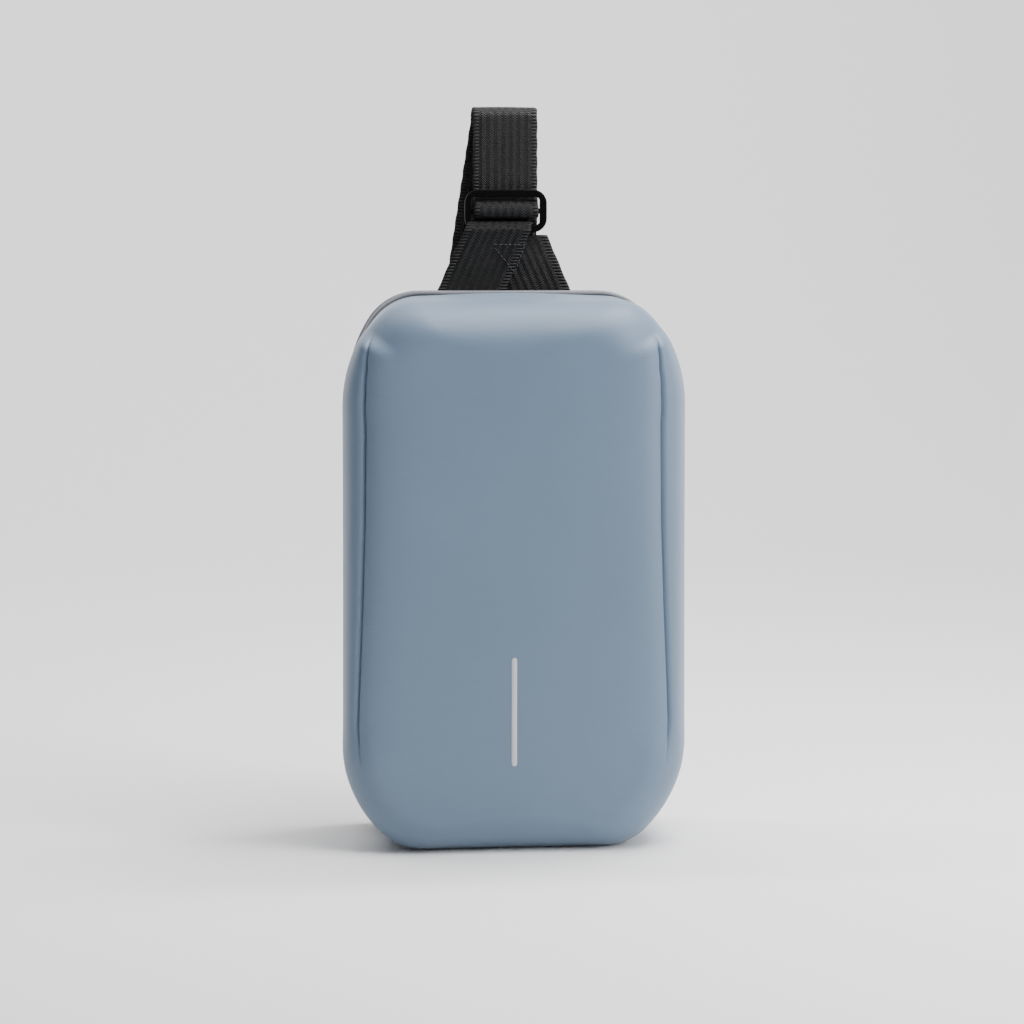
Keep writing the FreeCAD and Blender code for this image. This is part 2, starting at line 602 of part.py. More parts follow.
def swivel_eye():
    """Wide eye that the strap is sewn to, with the collar that the hook turns in."""
    body = new_body("swivel")
    opening_z = "dims.swivel_bar_z - dims.swivel_wire / 2 - dims.swivel_height / 2"
    level = "dims.strap_back_y - dims.swivel_wire / 2"
    add_plate(body, "swivel_frame", "XZ_Plane",
              [("dims.swivel_opening + 2 * dims.swivel_wire", "dims.swivel_height + 2 * dims.swivel_wire",
                "dims.swivel_corner"),
               ("dims.swivel_opening", "dims.swivel_height", "dims.swivel_window_corner")],
              ("dims.hook_x", opening_z), level, "dims.swivel_wire")
    collar_top = "dims.swivel_bar_z - 1.5 * dims.swivel_wire - dims.swivel_height"
    add_disc(body, "collar", "XY_Plane", "dims.collar_radius", ("dims.hook_x", "dims.strap_back_y"),
             f"{collar_top} - dims.collar_height + 1", "dims.collar_height")
    bore = doc.addObject("Part::Cylinder", "swivel_bore")
    bind(bore, Radius="dims.post_radius + dims.post_fit", Height="dims.collar_height + 6",
         Placement__Base__x="dims.hook_x", Placement__Base__y="dims.strap_back_y",
         Placement__Base__z=f"{collar_top} - dims.collar_height")
    keep(cut("swivel_bored", body, bore), "swivel_eye")


def hook_body():
    """Snap hook on edge: closed oval with a gap for its gate, and the post that turns in the collar."""
    body = new_body("hook")
    level = "dims.hook_x - dims.hook_thickness / 2"
    centre_z = "dims.hook_z - dims.hook_outer / 2 + dims.hook_length / 2"
    add_plate(body, "hook_oval", "YZ_Plane",
              [("dims.hook_outer", "dims.hook_length", "dims.hook_outer / 2 - 0.1"),
               ("dims.hook_inner", "dims.hook_length - dims.hook_outer + dims.hook_inner",
                "dims.hook_inner / 2 - 0.1")],
              ("dims.strap_back_y", centre_z), level, "dims.hook_thickness")
    collar_top = "dims.swivel_bar_z - 1.5 * dims.swivel_wire - dims.swivel_height"
    head_z = f"{collar_top} + dims.swivel_wire + dims.swivel_gap"
    oval_top = f"{centre_z} + dims.hook_length / 2"
    add_disc(body, "post", "XY_Plane", "dims.post_radius", ("dims.hook_x", "dims.strap_back_y"),
             f"{oval_top} - dims.post_root",
             f"{head_z} + dims.post_head / 2 - ({oval_top}) + dims.post_root")
    add_disc(body, "post_head", "XY_Plane", "dims.post_head_radius", ("dims.hook_x", "dims.strap_back_y"),
             head_z, "dims.post_head")
    arm = "dims.hook_outer / 2 - dims.hook_inner / 2 + 1.6"
    arm_y = "dims.strap_back_y - dims.hook_outer / 2 - 1"
    low = "dims.hook_z - dims.gate_slack"
    gap = block("hook_gap", ("dims.hook_thickness + 2", arm, f"dims.hook_gap_top - ({low})"),
                (f"{level} - 1", arm_y, low))
    slot = block("hook_slot", ("dims.gate_width + dims.gate_slack", arm, f"dims.hook_slot_top - ({low})"),
                 ("dims.hook_x - (dims.gate_width + dims.gate_slack) / 2", arm_y, low))
    openings = fuse("hook_cuts", gap, slot, gate_pin_rod("hook_bore", "0.05"))
    keep(cut("hook_open", body, openings), "hook_body")


def gate_pin_rod(name, margin):
    """Rod on the gate's hinge line, a margin larger than the pin."""
    return rod(name, f"dims.gate_pin_radius + {margin}", f"dims.hook_thickness + 2 * ({margin})",
               ("dims.hook_x", GATE_Y, "dims.gate_pin_z"))


def hook_gate():
    """Sprung gate that closes the hook's gap, and the pin that it turns on."""
    body = new_body("gate")
    add_plate(body, "gate_bar", "YZ_Plane", [("dims.gate_depth", "dims.gate_length", "1.2")],
              (GATE_Y, "dims.hook_z + dims.gate_length / 2"),
              "dims.hook_x - dims.gate_width / 2", "dims.gate_width")
    keep(cut("gate_bored", body, gate_pin_rod("gate_bore", "0.1")), "hook_gate")
    keep(gate_pin_rod("gate_pin_rod", "0"), "gate_pin")


def loop_ring(side, centre_x):
    """Wire loop ring that stands up out of its tab."""
    body = new_body(f"ring_{side}")
    centre_z = "dims.ring_z + (dims.ring_height + 2 * dims.ring_wire) / 2"
    spine = new_sketch(body, f"ring_{side}_path", "XZ_Plane", (centre_x, centre_z), "dims.strap_back_y")
    add_rounded(spine, [("dims.ring_opening + 2 * dims.ring_wire", "dims.ring_height + 2 * dims.ring_wire",
                         "dims.ring_corner")])
    section = new_sketch(body, f"ring_{side}_section", "YZ_Plane",
                         ("dims.strap_back_y", "dims.ring_z"), centre_x)
    section.addGeometry(Part.Circle(Vector(0, 0, 0), Vector(0, 0, 1), number("dims.ring_wire")), False)
    section.addConstraint(Constrain("Coincident", 0, 3, -1, 1))
    constrain(section, "radius", Constrain("Radius", 0, number("dims.ring_wire")), "dims.ring_wire")
    add_pipe(body, f"ring_{side}_wire", spine, section)
    keep(body, f"loop_ring_{side}")


def ring_tab(side, centre_x):
    """Folded webbing tab that holds a loop ring clear of the pad."""
    body = new_body(f"tab_{side}")
    foot = "dims.pad_y + dims.pad + dims.tab_gap"
    head = "dims.strap_back_y - dims.tab / 2"
    add_polygon(body, f"tab_{side}_strip", "YZ_Plane", [
        (foot, "dims.tab_foot_z"), (f"{foot} + dims.tab", "dims.tab_foot_z"),
        (f"{foot} + dims.tab", "dims.tab_foot_z + dims.tab_sewn"),
        (f"{head} + dims.tab", "dims.ring_z - dims.tab_bore"),
        (head, "dims.ring_z - dims.tab_bore"), (foot, "dims.tab_foot_z + dims.tab_sewn"),
    ], f"{centre_x} - dims.tab_width / 2", "dims.tab_width")
    centre = (centre_x, "dims.strap_back_y", "dims.ring_z")
    loop = tube(f"tab_{side}_loop", "dims.tab_bore + dims.tab / 2", "dims.tab_bore", "dims.tab_width",
                centre)
    space = rod(f"tab_{side}_space", "dims.tab_bore", "dims.tab_width + 4", centre)
    webbing = fuse(f"tab_{side}_webbing", body, loop)
    keep(cut(f"tab_{side}_whole", webbing, space), f"ring_tab_{side}")


def place(part, position, turn):
    """Set a finished sub-part down at a place on the bag, turned about Z."""
    part.Placement.Rotation = FreeCAD.Rotation(Vector(0, 0, 1), turn)
    bind(part, Placement__Base__x=position[0], Placement__Base__y=position[1],
         Placement__Base__z=position[2])


def zip_slider(label, position, turn):
    """Slider: two plates joined by a post between the coils, with lugs and a pin for its pull."""
    body = new_body(label)
    plate = [("dims.slider_width", "dims.slider_length", "dims.slider_corner")]
    inner = "-dims.tape - dims.coil - dims.slider_gap - dims.slider_plate"
    centre = ("0", "0")
    add_plate(body, f"{label}_inner", "YZ_Plane", plate, centre, inner, "dims.slider_plate")
    add_plate(body, f"{label}_post", "YZ_Plane", [("dims.post_width", "dims.post_length", "0.3")], centre,
              inner, "2 * (dims.slider_plate + dims.slider_gap) + dims.tape + dims.coil")
    add_plate(body, f"{label}_outer", "YZ_Plane", plate, centre, "dims.slider_gap", "dims.slider_plate")
    for name, sign in (("front", "-1"), ("back", "1")):
        add_plate(body, f"{label}_lug_{name}", "YZ_Plane", [("dims.lug", "dims.lug_length", "0.3")],
                  (f"{sign} * (dims.lug_gap + dims.lug) / 2", "0"), "dims.slider_gap + dims.slider_plate / 2",
                  "dims.pin_out + dims.pin_radius - dims.slider_plate / 2")
    add_disc(body, f"{label}_pin", "XZ_Plane", "dims.pin_radius", ("dims.pin_out", "0"),
             "-dims.lug_gap / 2 - dims.lug", "dims.lug_gap + 2 * dims.lug")
    place(body, position, turn)
    keep(body, label)


def zip_pull(label, position, turn):
    """Pull that hangs from the slider's pin: an eye, a neck and a grip."""
    eye = doc.addObject("Part::Cylinder", f"{label}_eye")
    bore = doc.addObject("Part::Cylinder", f"{label}_bore")
    for piece, radius, length in ((eye, "dims.eye_radius", "dims.eye_width"),
                                  (bore, "dims.eye_bore", "dims.eye_width + 2")):
        piece.Placement.Rotation = FreeCAD.Rotation(Vector(1, 0, 0), -90)
        bind(piece, Radius=radius, Height=length, Placement__Base__x="0",
             Placement__Base__y=f"-({length}) / 2", Placement__Base__z="0")
    grip = new_body(f"{label}_grip")
    add_plate(grip, f"{label}_neck", "YZ_Plane", [("dims.pull_neck", "dims.pull_neck_end", "0.4")],
              ("0", "-dims.pull_neck_end / 2"), "-dims.pull_thickness / 2", "dims.pull_thickness")
    add_plate(grip, f"{label}_tab", "YZ_Plane",
              [("dims.pull_width", "dims.pull_length - dims.pull_neck_end + dims.pull_overlap",
                "dims.pull_corner")],
              ("0", "-(dims.pull_length + dims.pull_neck_end - dims.pull_overlap) / 2"),
              "-dims.pull_thickness / 2", "dims.pull_thickness")
    pull = cut(f"{label}_whole", fuse(f"{label}_solid", eye, grip), bore)
    place(pull, position, turn)
    keep(pull, label)


def zip_sets():
    """Slider and pull of the main zip, closed at its lower right end, and of the back pocket."""
    face = "dims.seam_width / 2 - dims.tape_inset"
    zip_slider("zip_slider", (face, "dims.hinge_y", "dims.slider_z"), 0)
    zip_pull("zip_pull", (f"{face} + dims.pin_out", "dims.hinge_y", "dims.slider_z"), 0)
    zip_slider("pocket_slider", ("dims.pocket_x", "dims.pocket_tape_face", "dims.pocket_slider_z"), 90)
    zip_pull("pocket_pull", ("dims.pocket_x", "dims.pocket_tape_face + dims.pin_out",
                             "dims.pocket_slider_z"), 90)


def pocket_zip():
    """Tapes and coils of the back pocket's zip, inside the slot of the pad."""
    half_gap = "(dims.tape_rear_start - dims.tape_front_end) / 2"
    tape_width = f"dims.pocket_slot / 2 - 0.2 - {half_gap}"
    low = "dims.pocket_z - dims.pocket_length / 2 + 0.2"
    length = "dims.pocket_length - 0.4"
    for label, width, level, depth in (
            ("pocket_zip_tape", tape_width, "dims.pocket_tape_face - dims.tape", "dims.tape"),
            ("pocket_zip_coil", "dims.coil_width - 0.4",
             "dims.pocket_tape_face - dims.tape - 0.1 - dims.coil", "dims.coil")):
        right = block(f"{label}_right", (width, depth, length), (f"dims.pocket_x + {half_gap}", level, low))
        left = block(f"{label}_left", (width, depth, length),
                     (f"dims.pocket_x - {half_gap} - ({width})", level, low))
        pair = doc.addObject("Part::Compound", f"{label}_pair")
        pair.Links = [left, right]
        keep(pair, label)


def check_model():
    """Stop if any object failed to build, or any sub-part has no valid shape."""
    for made in doc.Objects:
        if {"Invalid", "Error"} & set(made.State):
            raise RuntimeError(f"{made.Name} failed: {made.State}")
    for part in nodes:
        if part.Shape.isNull() or not part.Shape.isValid():
            raise RuntimeError(f"{part.Label} has no valid shape")


def build():
    fill_sheet()
    front_shell()
    front_plies()
    piping("piping_front", "dims.piping_front_y", "0")
    zip_side("front", "dims.tape_front_start", "dims.tape_front_end",
             "dims.tape_front_end - dims.coil_width + dims.coil_reach")
    zip_side("rear", "dims.tape_rear_start", "dims.tape_rear_end",
             "dims.tape_rear_start - dims.coil_reach")
    gusset("base_gusset", "dims.tape_front_start", "dims.tape_front_end")
    gusset("panel_foot_band", "dims.tape_rear_start", "dims.tape_rear_end")
    panel_layers()
    back_pad()
    piping("piping_back", "dims.piping_back_y", "0.2")
    reflective_bar()
    base_stiffener()
    interior()
    strap_yoke()
    strap_adjuster()
    shoulder_strap()
    strap_keeper()
    swivel_eye()
    hook_body()
    hook_gate()
    for side, centre_x in (("left", "dims.hook_x"), ("right", "-dims.hook_x")):
        loop_ring(side, centre_x)
        ring_tab(side, centre_x)
    zip_sets()
    pocket_zip()
    doc.recompute()
    check_model()
    os.makedirs("parts", exist_ok=True)
    for part in nodes:
        part.Shape.exportStep(os.path.join("parts", f"{part.Label}.step"))


build()
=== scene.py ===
"""Sling bag: every visible surface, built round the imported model. Metres, +Z up, the front faces -Y."""
import math

import bpy
import numpy as np
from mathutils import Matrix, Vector


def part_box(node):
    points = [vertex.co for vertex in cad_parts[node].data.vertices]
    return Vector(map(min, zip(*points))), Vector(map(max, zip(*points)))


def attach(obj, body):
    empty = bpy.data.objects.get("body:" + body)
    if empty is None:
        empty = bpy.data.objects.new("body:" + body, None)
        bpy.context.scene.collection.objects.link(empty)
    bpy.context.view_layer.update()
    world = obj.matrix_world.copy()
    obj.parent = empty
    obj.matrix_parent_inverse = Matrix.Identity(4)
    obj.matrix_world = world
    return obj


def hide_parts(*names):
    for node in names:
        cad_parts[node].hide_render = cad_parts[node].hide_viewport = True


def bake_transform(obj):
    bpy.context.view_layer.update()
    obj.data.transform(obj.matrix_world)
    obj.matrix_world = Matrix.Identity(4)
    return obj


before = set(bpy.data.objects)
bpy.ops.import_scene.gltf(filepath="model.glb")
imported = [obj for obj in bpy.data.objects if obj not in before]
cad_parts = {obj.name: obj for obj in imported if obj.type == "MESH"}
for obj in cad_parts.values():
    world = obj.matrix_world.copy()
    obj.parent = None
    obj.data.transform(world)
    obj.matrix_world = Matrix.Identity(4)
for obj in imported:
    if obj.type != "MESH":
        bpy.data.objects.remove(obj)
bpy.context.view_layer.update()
MM = 0.001
TAU = 2 * math.pi


# ---------------------------------------------------------------- places taken from the frame, in millimetres
def low(node):
    return np.array(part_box(node)[0]) / MM


def high(node):
    return np.array(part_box(node)[1]) / MM


def size(node):
    return high(node) - low(node)


def mid_x(node):
    return (low(node)[0] + high(node)[0]) / 2


def mid_y(node):
    return (low(node)[1] + high(node)[1]) / 2


def mid_z(node):
    return (low(node)[2] + high(node)[2]) / 2


SHELL_HALF = high("front_shell")[0]
SHELL_TOP = high("front_shell")[2] - 2.8
FACE_Y = low("front_shell")[1]
SEAM_Y = high("front_shell")[1]
RIM_HALF = high("piping_front")[0]
RIM_BASE = low("piping_front")[2]
RIM_TOP = high("piping_front")[2]

# Corner shapes: half the level edge, then the tight and the long radius of the turn into the side.
SHELL_FOOT = (51, 33, 73)
SHELL_CROWN = (54, 30, 72)
RIM_FOOT = (56, 27, 60)
RIM_CROWN = (50, 34, 80)
PLY_DEPTH = 4.8                 # cover and foam between the skin and the lining
LEAN = 0.125                    # how far the soft front leans sideways for each unit of depth
LEAN_START = -5                 # place along Y where that lean begins

WEBBING = 1.4                   # thickness of the webbing
WEBBING_HALF = 18.5             # half its width
HERRINGBONE = 2.2               # width of one column of its weave
ZIP_END = low("zip_tape_front")[2]
HINGE_Y = 31.0                  # place along Y where the two zip coils meet, above the cloth hinge
TAPE_IN = 0.3                   # how far the zip tapes lie inside the seam's outline
TAPE = 1.6                      # thickness of a zip tape
COIL_IN = 2.5                   # how far the coils lie inside the seam's outline
STRAP_FOLD = 5.9                # radius of the strap's fold at its top
STRAP_BACK_Y = 58.6             # place along Y of the strap's back run
TAIL_Y = 52.4                   # place along Y of the strap's tail
SWIVEL_BAR_Z = 102              # height of the bar that the strap is sewn round
SWIVEL_BORE = 2.6               # radius inside the strap's end loop
YOKE_LEFT_Y = low("strap_yoke")[1]
YOKE_RIGHT_Y = 43.0
YOKE_FEET = (-30.3, 27.9)       # where the left and right legs leave the bag
YOKE_HEADS = (-4.8, 4.1)        # where they end at the adjuster
YOKE_TOP = 339.6                # height where the right leg ends
YOKE_BAR_Z = 343.2              # height of the adjuster's lower bar
CHANNELS = (112, 190)           # heights of the air channels across the back pad
YOKE_PULL = 2.6                 # how far the front leg is drawn forwards at its head
FOOT_LAP = 1.5                  # how far the foot's bands run up over the ends of the zip tapes


# ---------------------------------------------------------------- camera, light and floor
def make_camera():
    data = bpy.data.cameras.new("camera")
    camera = bpy.data.objects.new("camera", data)
    bpy.context.collection.objects.link(camera)
    distance, azimuth, elevation = 1.6, math.radians(-6.3), math.radians(5)
    aim = Vector((-0.0012, 0, 0.1845))
    view_width = 0.5741
    data.sensor_width = 36
    data.lens = data.sensor_width * distance / view_width
    away = Vector((math.sin(azimuth) * math.cos(elevation), -math.cos(azimuth) * math.cos(elevation),
                   math.sin(elevation)))
    camera.location = aim + away * distance
    camera.rotation_euler = (aim - camera.location).to_track_quat("-Z", "Y").to_euler()
    bpy.context.scene.camera = camera


def area_light(name, place, aim, size, watts, colour=(1, 1, 1)):
    data = bpy.data.lights.new(name, "AREA")
    data.shape = "RECTANGLE"
    data.size, data.size_y = size
    data.energy = watts
    data.color = colour
    light = bpy.data.objects.new(name, data)
    bpy.context.collection.objects.link(light)
    light.location = place
    light.rotation_euler = (Vector(aim) - light.location).to_track_quat("-Z", "Y").to_euler()


def make_studio():
    world = bpy.data.worlds.new("studio")
    bpy.context.scene.world = world
    world.use_nodes = True
    background = world.node_tree.nodes["Background"]
    background.inputs["Color"].default_value = (1, 1, 1, 1)
    background.inputs["Strength"].default_value = 0.13
    centre = (0, 0, 0.17)
    area_light("key", (0.9, -0.6, 0.58), centre, (0.4, 0.8), 11)
    area_light("top", (0.3, -0.1, 1.0), centre, (0.9, 0.5), 14)
    area_light("fill", (-0.9, -1.6, 0.9), centre, (0.9, 0.9), 0.9)
    area_light("wall", (0, 0.6, 2.6), (0, 2.6, 0.6), (4, 0.6), 130)
    floor = make_sweep()
    material = new_material("floor", 0.9)
    material.node_tree.nodes["surface"].inputs["Base Color"].default_value = (0.94, 0.94, 0.94, 1)
    floor.data.materials.append(material)


def make_sweep():
    """Floor that curves up into a wall far behind the bag."""
    bend_y, bend_radius, half_width, near_y, top_z = 1.4, 1.6, 7, -6, 6
    turns = np.radians(np.linspace(-90, 0, 25))
    line = [(near_y, 0.0)]
    line += [(bend_y + bend_radius * math.cos(a), bend_radius + bend_radius * math.sin(a)) for a in turns]
    line.append((bend_y + bend_radius, top_z))
    points = [(side * half_width, y, z) for y, z in line for side in (-1, 1)]
    faces = [(2 * row, 2 * row + 1, 2 * row + 3, 2 * row + 2) for row in range(len(line) - 1)]
    mesh = bpy.data.meshes.new("floor")
    mesh.from_pydata(points, [], faces)
    mesh.polygons.foreach_set("use_smooth", [True] * len(faces))
    sweep = bpy.data.objects.new("floor", mesh)
    bpy.context.collection.objects.link(sweep)
    return sweep


# ---------------------------------------------------------------- material helpers
def new_material(name, roughness, metallic=0.0):
    material = bpy.data.materials.new(name)
    material.use_nodes = True
    surface = material.node_tree.nodes["Principled BSDF"]
    surface.name = "surface"
    surface.inputs["Roughness"].default_value = roughness
    surface.inputs["Metallic"].default_value = metallic
    return material


class Nodes:
    """Short way to add and join shader nodes of one material."""

    def __init__(self, material):
        self.tree = material.node_tree
        self.surface = self.tree.nodes["surface"]

    def add(self, kind, **settings):
        node = self.tree.nodes.new(kind)
        for key, value in settings.items():
            setattr(node, key, value)
        return node

    def join(self, source, target):
        self.tree.links.new(source, target)

    def place(self, scale):
        """Object-space position, stretched by a scale for each axis."""
        texture = self.add("ShaderNodeTexCoord")
        mapping = self.add("ShaderNodeMapping")
        mapping.inputs["Scale"].default_value = scale
        self.join(texture.outputs["Object"], mapping.inputs["Vector"])
        return mapping.outputs["Vector"]

    def noise(self, vector, scale, detail=2.0, roughness=0.5):
        node = self.add("ShaderNodeTexNoise")
        node.inputs["Scale"].default_value = scale
        node.inputs["Detail"].default_value = detail
        node.inputs["Roughness"].default_value = roughness
        self.join(vector, node.inputs["Vector"])
        return node.outputs["Fac"]

    def maths(self, operation, *values):
        node = self.add("ShaderNodeMath", operation=operation)
        for slot, value in enumerate(values):
            if isinstance(value, (int, float)):
                node.inputs[slot].default_value = value
            else:
                self.join(value, node.inputs[slot])
        return node.outputs[0]

    def colours(self, factor, stops):
        ramp = self.add("ShaderNodeValToRGB")
        elements = ramp.color_ramp.elements
        while len(elements) < len(stops):
            elements.new(0.5)
        for element, (position, colour) in zip(elements, stops):
            element.position = position
            element.color = (*colour, 1)
        self.join(factor, ramp.inputs["Fac"])
        return ramp.outputs["Color"]

    def paint(self, factor, stops):
        self.join(self.colours(factor, stops), self.surface.inputs["Base Color"])

    def bump(self, height, distance, strength=1.0, under=None):
        node = self.add("ShaderNodeBump")
        node.inputs["Strength"].default_value = strength
        node.inputs["Distance"].default_value = distance
        self.join(height, node.inputs["Height"])
        if under is not None:
            self.join(under, node.inputs["Normal"])
        return node.outputs["Normal"]

    def shape(self, normal):
        self.join(normal, self.surface.inputs["Normal"])

    def gloss(self, factor, lowest, highest):
        mapped = self.add("ShaderNodeMapRange")
        mapped.inputs["To Min"].default_value = lowest
        mapped.inputs["To Max"].default_value = highest
        self.join(factor, mapped.inputs["Value"])
        self.join(mapped.outputs["Result"], self.surface.inputs["Roughness"])


def shades(colour, spread):
    """Two stops, darker and lighter than a colour."""
    return [(0.3, tuple(c * (1 - spread) for c in colour)), (0.7, tuple(c * (1 + spread) for c in colour))]


def coated_fabric():
    """Grey-blue coated weave: fine level ribs, faint mottling, soft sheen."""
    material = new_material("coated_fabric", 0.52)
    n = Nodes(material)
    ribs = n.noise(n.place((90, 90, 1500)), 1.0, 3.0, 0.6)
    mottle = n.noise(n.place((14, 14, 10)), 1.0, 3.0)
    tint = n.maths("ADD", n.maths("MULTIPLY", ribs, 0.35), n.maths("MULTIPLY", mottle, 0.65))
    n.paint(tint, shades((0.115, 0.170, 0.246), 0.05))
    n.gloss(mottle, 0.46, 0.58)
    soft = n.bump(mottle, 0.0006, 0.5)
    n.shape(n.bump(ribs, 0.00012, 0.55, soft))
    n.surface.inputs["Sheen Weight"].default_value = 0.18
    n.surface.inputs["Sheen Roughness"].default_value = 0.45
    return material


# ---------------------------------------------------------------- mesh helpers
def smoothstep(value, start, end):
    t = np.clip((np.asarray(value, float) - start) / (end - start), 0, 1)
    return t * t * (3 - 2 * t)


def mesh_object(name, points, faces, material, body):
    """Smooth mesh from points in millimetres, riding on a body."""
    mesh = bpy.data.meshes.new(name)
    mesh.from_pydata((np.asarray(points, float) * MM).tolist(), [], faces)
    mesh.update()
    mesh.polygons.foreach_set("use_smooth", [True] * len(mesh.polygons))
    made = bpy.data.objects.new(name, mesh)
    bpy.context.collection.objects.link(made)
    mesh.materials.append(material)
    if body:
        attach(made, body)
    return made


def grid_faces(rows, columns, closed_columns):
    """Quads between rings of points, each ring closed on itself or not."""
    faces = []
    for row in range(rows - 1):
        for column in range(columns if closed_columns else columns - 1):
            following = (column + 1) % columns
            faces.append((row * columns + column, row * columns + following,
                          (row + 1) * columns + following, (row + 1) * columns + column))
    return faces


def ring_mesh(name, rings, material, body):
    """Open skin through rings of points, each ring closed on itself."""
    rows, columns, _ = rings.shape
    return mesh_object(name, rings.reshape(-1, 3), grid_faces(rows, columns, True), material, body)


def loop_mesh(name, loops, closed, material, body):
    """Solid run through loops of points, joined end to end or capped."""
    return mesh_object(name, loops.reshape(-1, 3), close_rings(loops, closed), material, body)


def arc_points(centre, radius, start, end, count=24):
    angles = np.radians(np.linspace(start, end, count))
    return np.stack([centre[0] + radius * np.cos(angles), centre[1] + radius * np.sin(angles)], 1)


def corner(flat, edge, half, tight, long, upward):
    """Tight and long arcs that turn a level edge at the foot or crown into the right-hand side."""
    turn = math.degrees(math.asin((long - (half - flat)) / (long - tight)))
    away = 1 if upward else -1
    reach = math.radians(90 - turn)
    tight_centre = np.array([flat, edge - away * tight])
    long_centre = tight_centre + (tight - long) * np.array([math.cos(reach), away * math.sin(reach)])
    if upward:
        return [arc_points(long_centre, long, 0, 90 - turn), arc_points(tight_centre, tight, 90 - turn, 90)]
    return [arc_points(tight_centre, tight, -90, turn - 90), arc_points(long_centre, long, turn - 90, 0)]


def outline(half, base, top, foot, crown, inset, count):
    """Points round the bag's outline, evenly spaced, from the middle of the foot round by +X."""
    foot_run = corner(foot[0], base + inset, half - inset, foot[1] - inset, foot[2] - inset, False)
    crown_run = corner(crown[0], top - inset, half - inset, crown[1] - inset, crown[2] - inset, True)
    right = np.concatenate([[[0, base + inset]], *foot_run, *crown_run, [[0, top - inset]]])
    left = right[::-1][1:] * [-1, 1]
    path = np.concatenate([right, left])
    steps = np.r_[0, np.cumsum(np.hypot(*np.diff(path, axis=0).T))]
    wanted = np.linspace(0, steps[-1], count, endpoint=False)
    return np.stack([np.interp(wanted, steps, path[:, 0]), np.interp(wanted, steps, path[:, 1])], 1)


def shell_outline(count, inset=0.0):
    return outline(SHELL_HALF, 0, SHELL_TOP, SHELL_FOOT, SHELL_CROWN, inset, count)


def rim_outline(count, inset=0.0):
    return outline(RIM_HALF, RIM_BASE, RIM_TOP, RIM_FOOT, RIM_CROWN, inset, count)


def bezier(p0, p1, p2, p3, t):
    """Cubic curves for a ring of points at once; t is a row of places along them."""
    t = t[:, None, None]
    return (1 - t) ** 3 * p0 + 3 * t * (1 - t) ** 2 * p1 + 3 * t * t * (1 - t) * p2 + t ** 3 * p3


# ---------------------------------------------------------------- padded front shell
CORE_LOW = 70
CORE_HIGH = 236
DART_TOP = 287                  # height of the dart's sharp upper end
DART_FOOT = 76                  # height below which the dart fades out
JOIN_DEPTH = 5.6                # how far behind the face the dart lies
# Height on the bag, and how far in from its outline the dart runs there.
DART_INSETS = ((20, 7), (36, 8), (49, 11), (72, 9.4), (89, 10), (136, 12), (184, 13.6), (236, 14.2),
               (256, 13.4), (270, 10.8), (284, 5.2), (300, 5))


def dart_weight(height):
    """One where the side panel is sewn on, nought over the crown and under the foot."""
    upper = 1 - smoothstep(height, DART_TOP - 8, DART_TOP + 2)
    lower = smoothstep(height, DART_FOOT - 34, DART_FOOT)
    return upper * lower


def crown_of_face(x, z):
    """Slight fullness of the padded face."""
    return 1.6 * np.clip(1 - (x / 92) ** 2, 0, 1) * np.clip(1 - ((z - 150) / 165) ** 2, 0, 1)


def side_profile(seam_in, join_in, join_y, radius, sewn, t):
    """Curve, as (inset, place along Y), from the seam over the side to where the face begins."""
    hollow = np.array([[seam_in, SEAM_Y + 0.6], [-3.4, SEAM_Y - 6], [-1.6, join_y - 1.2], [join_in, join_y]])
    sewn_on = bezier(*hollow[:, None, None, :], t)[:, 0]
    first = t < 0.5
    u = np.clip(t * 2, 0, 1)
    turn = np.clip(t * 2 - 1, 0, 1) * math.acos(1 - min(join_in / radius, 1))
    plain_in = np.where(first, seam_in * (1 - u) ** 3 - 0.8 * np.sin(math.pi * u),
                        radius * (1 - np.cos(turn)))
    plain_y = np.where(first, SEAM_Y + 0.6 + (FACE_Y + radius - SEAM_Y - 0.6) * u,
                       FACE_Y + radius - radius * np.sin(turn))
    return sewn * sewn_on + (1 - sewn) * np.stack([plain_in, plain_y], 1)


def face_profile(join_in, join_y, radius, sewn, reach):
    """Curve, as (inset, place along Y), from the join to the middle line of the face."""
    inset = join_in + (reach - join_in) * np.linspace(0, 1, 160) ** 1.6
    hollow = join_y - FACE_Y
    sewn_y = FACE_Y + hollow * np.exp(-(inset - join_in) / 7.5)
    past = radius - np.clip(inset, 0, radius)
    plain_y = FACE_Y + radius - np.sqrt(radius ** 2 - past ** 2)
    return np.stack([inset, sewn * sewn_y + (1 - sewn) * plain_y], 1)


def spaced(curve, near, far_count):
    """Points along a curve: close together near its start, then even to its end."""
    steps = np.r_[0, np.cumsum(np.hypot(*np.diff(curve, axis=0).T))]
    wanted = np.r_[near, np.linspace(near[-1], steps[-1], far_count + 1)[1:]]
    return np.stack([np.interp(wanted, steps, curve[:, axis]) for axis in range(2)], 1)


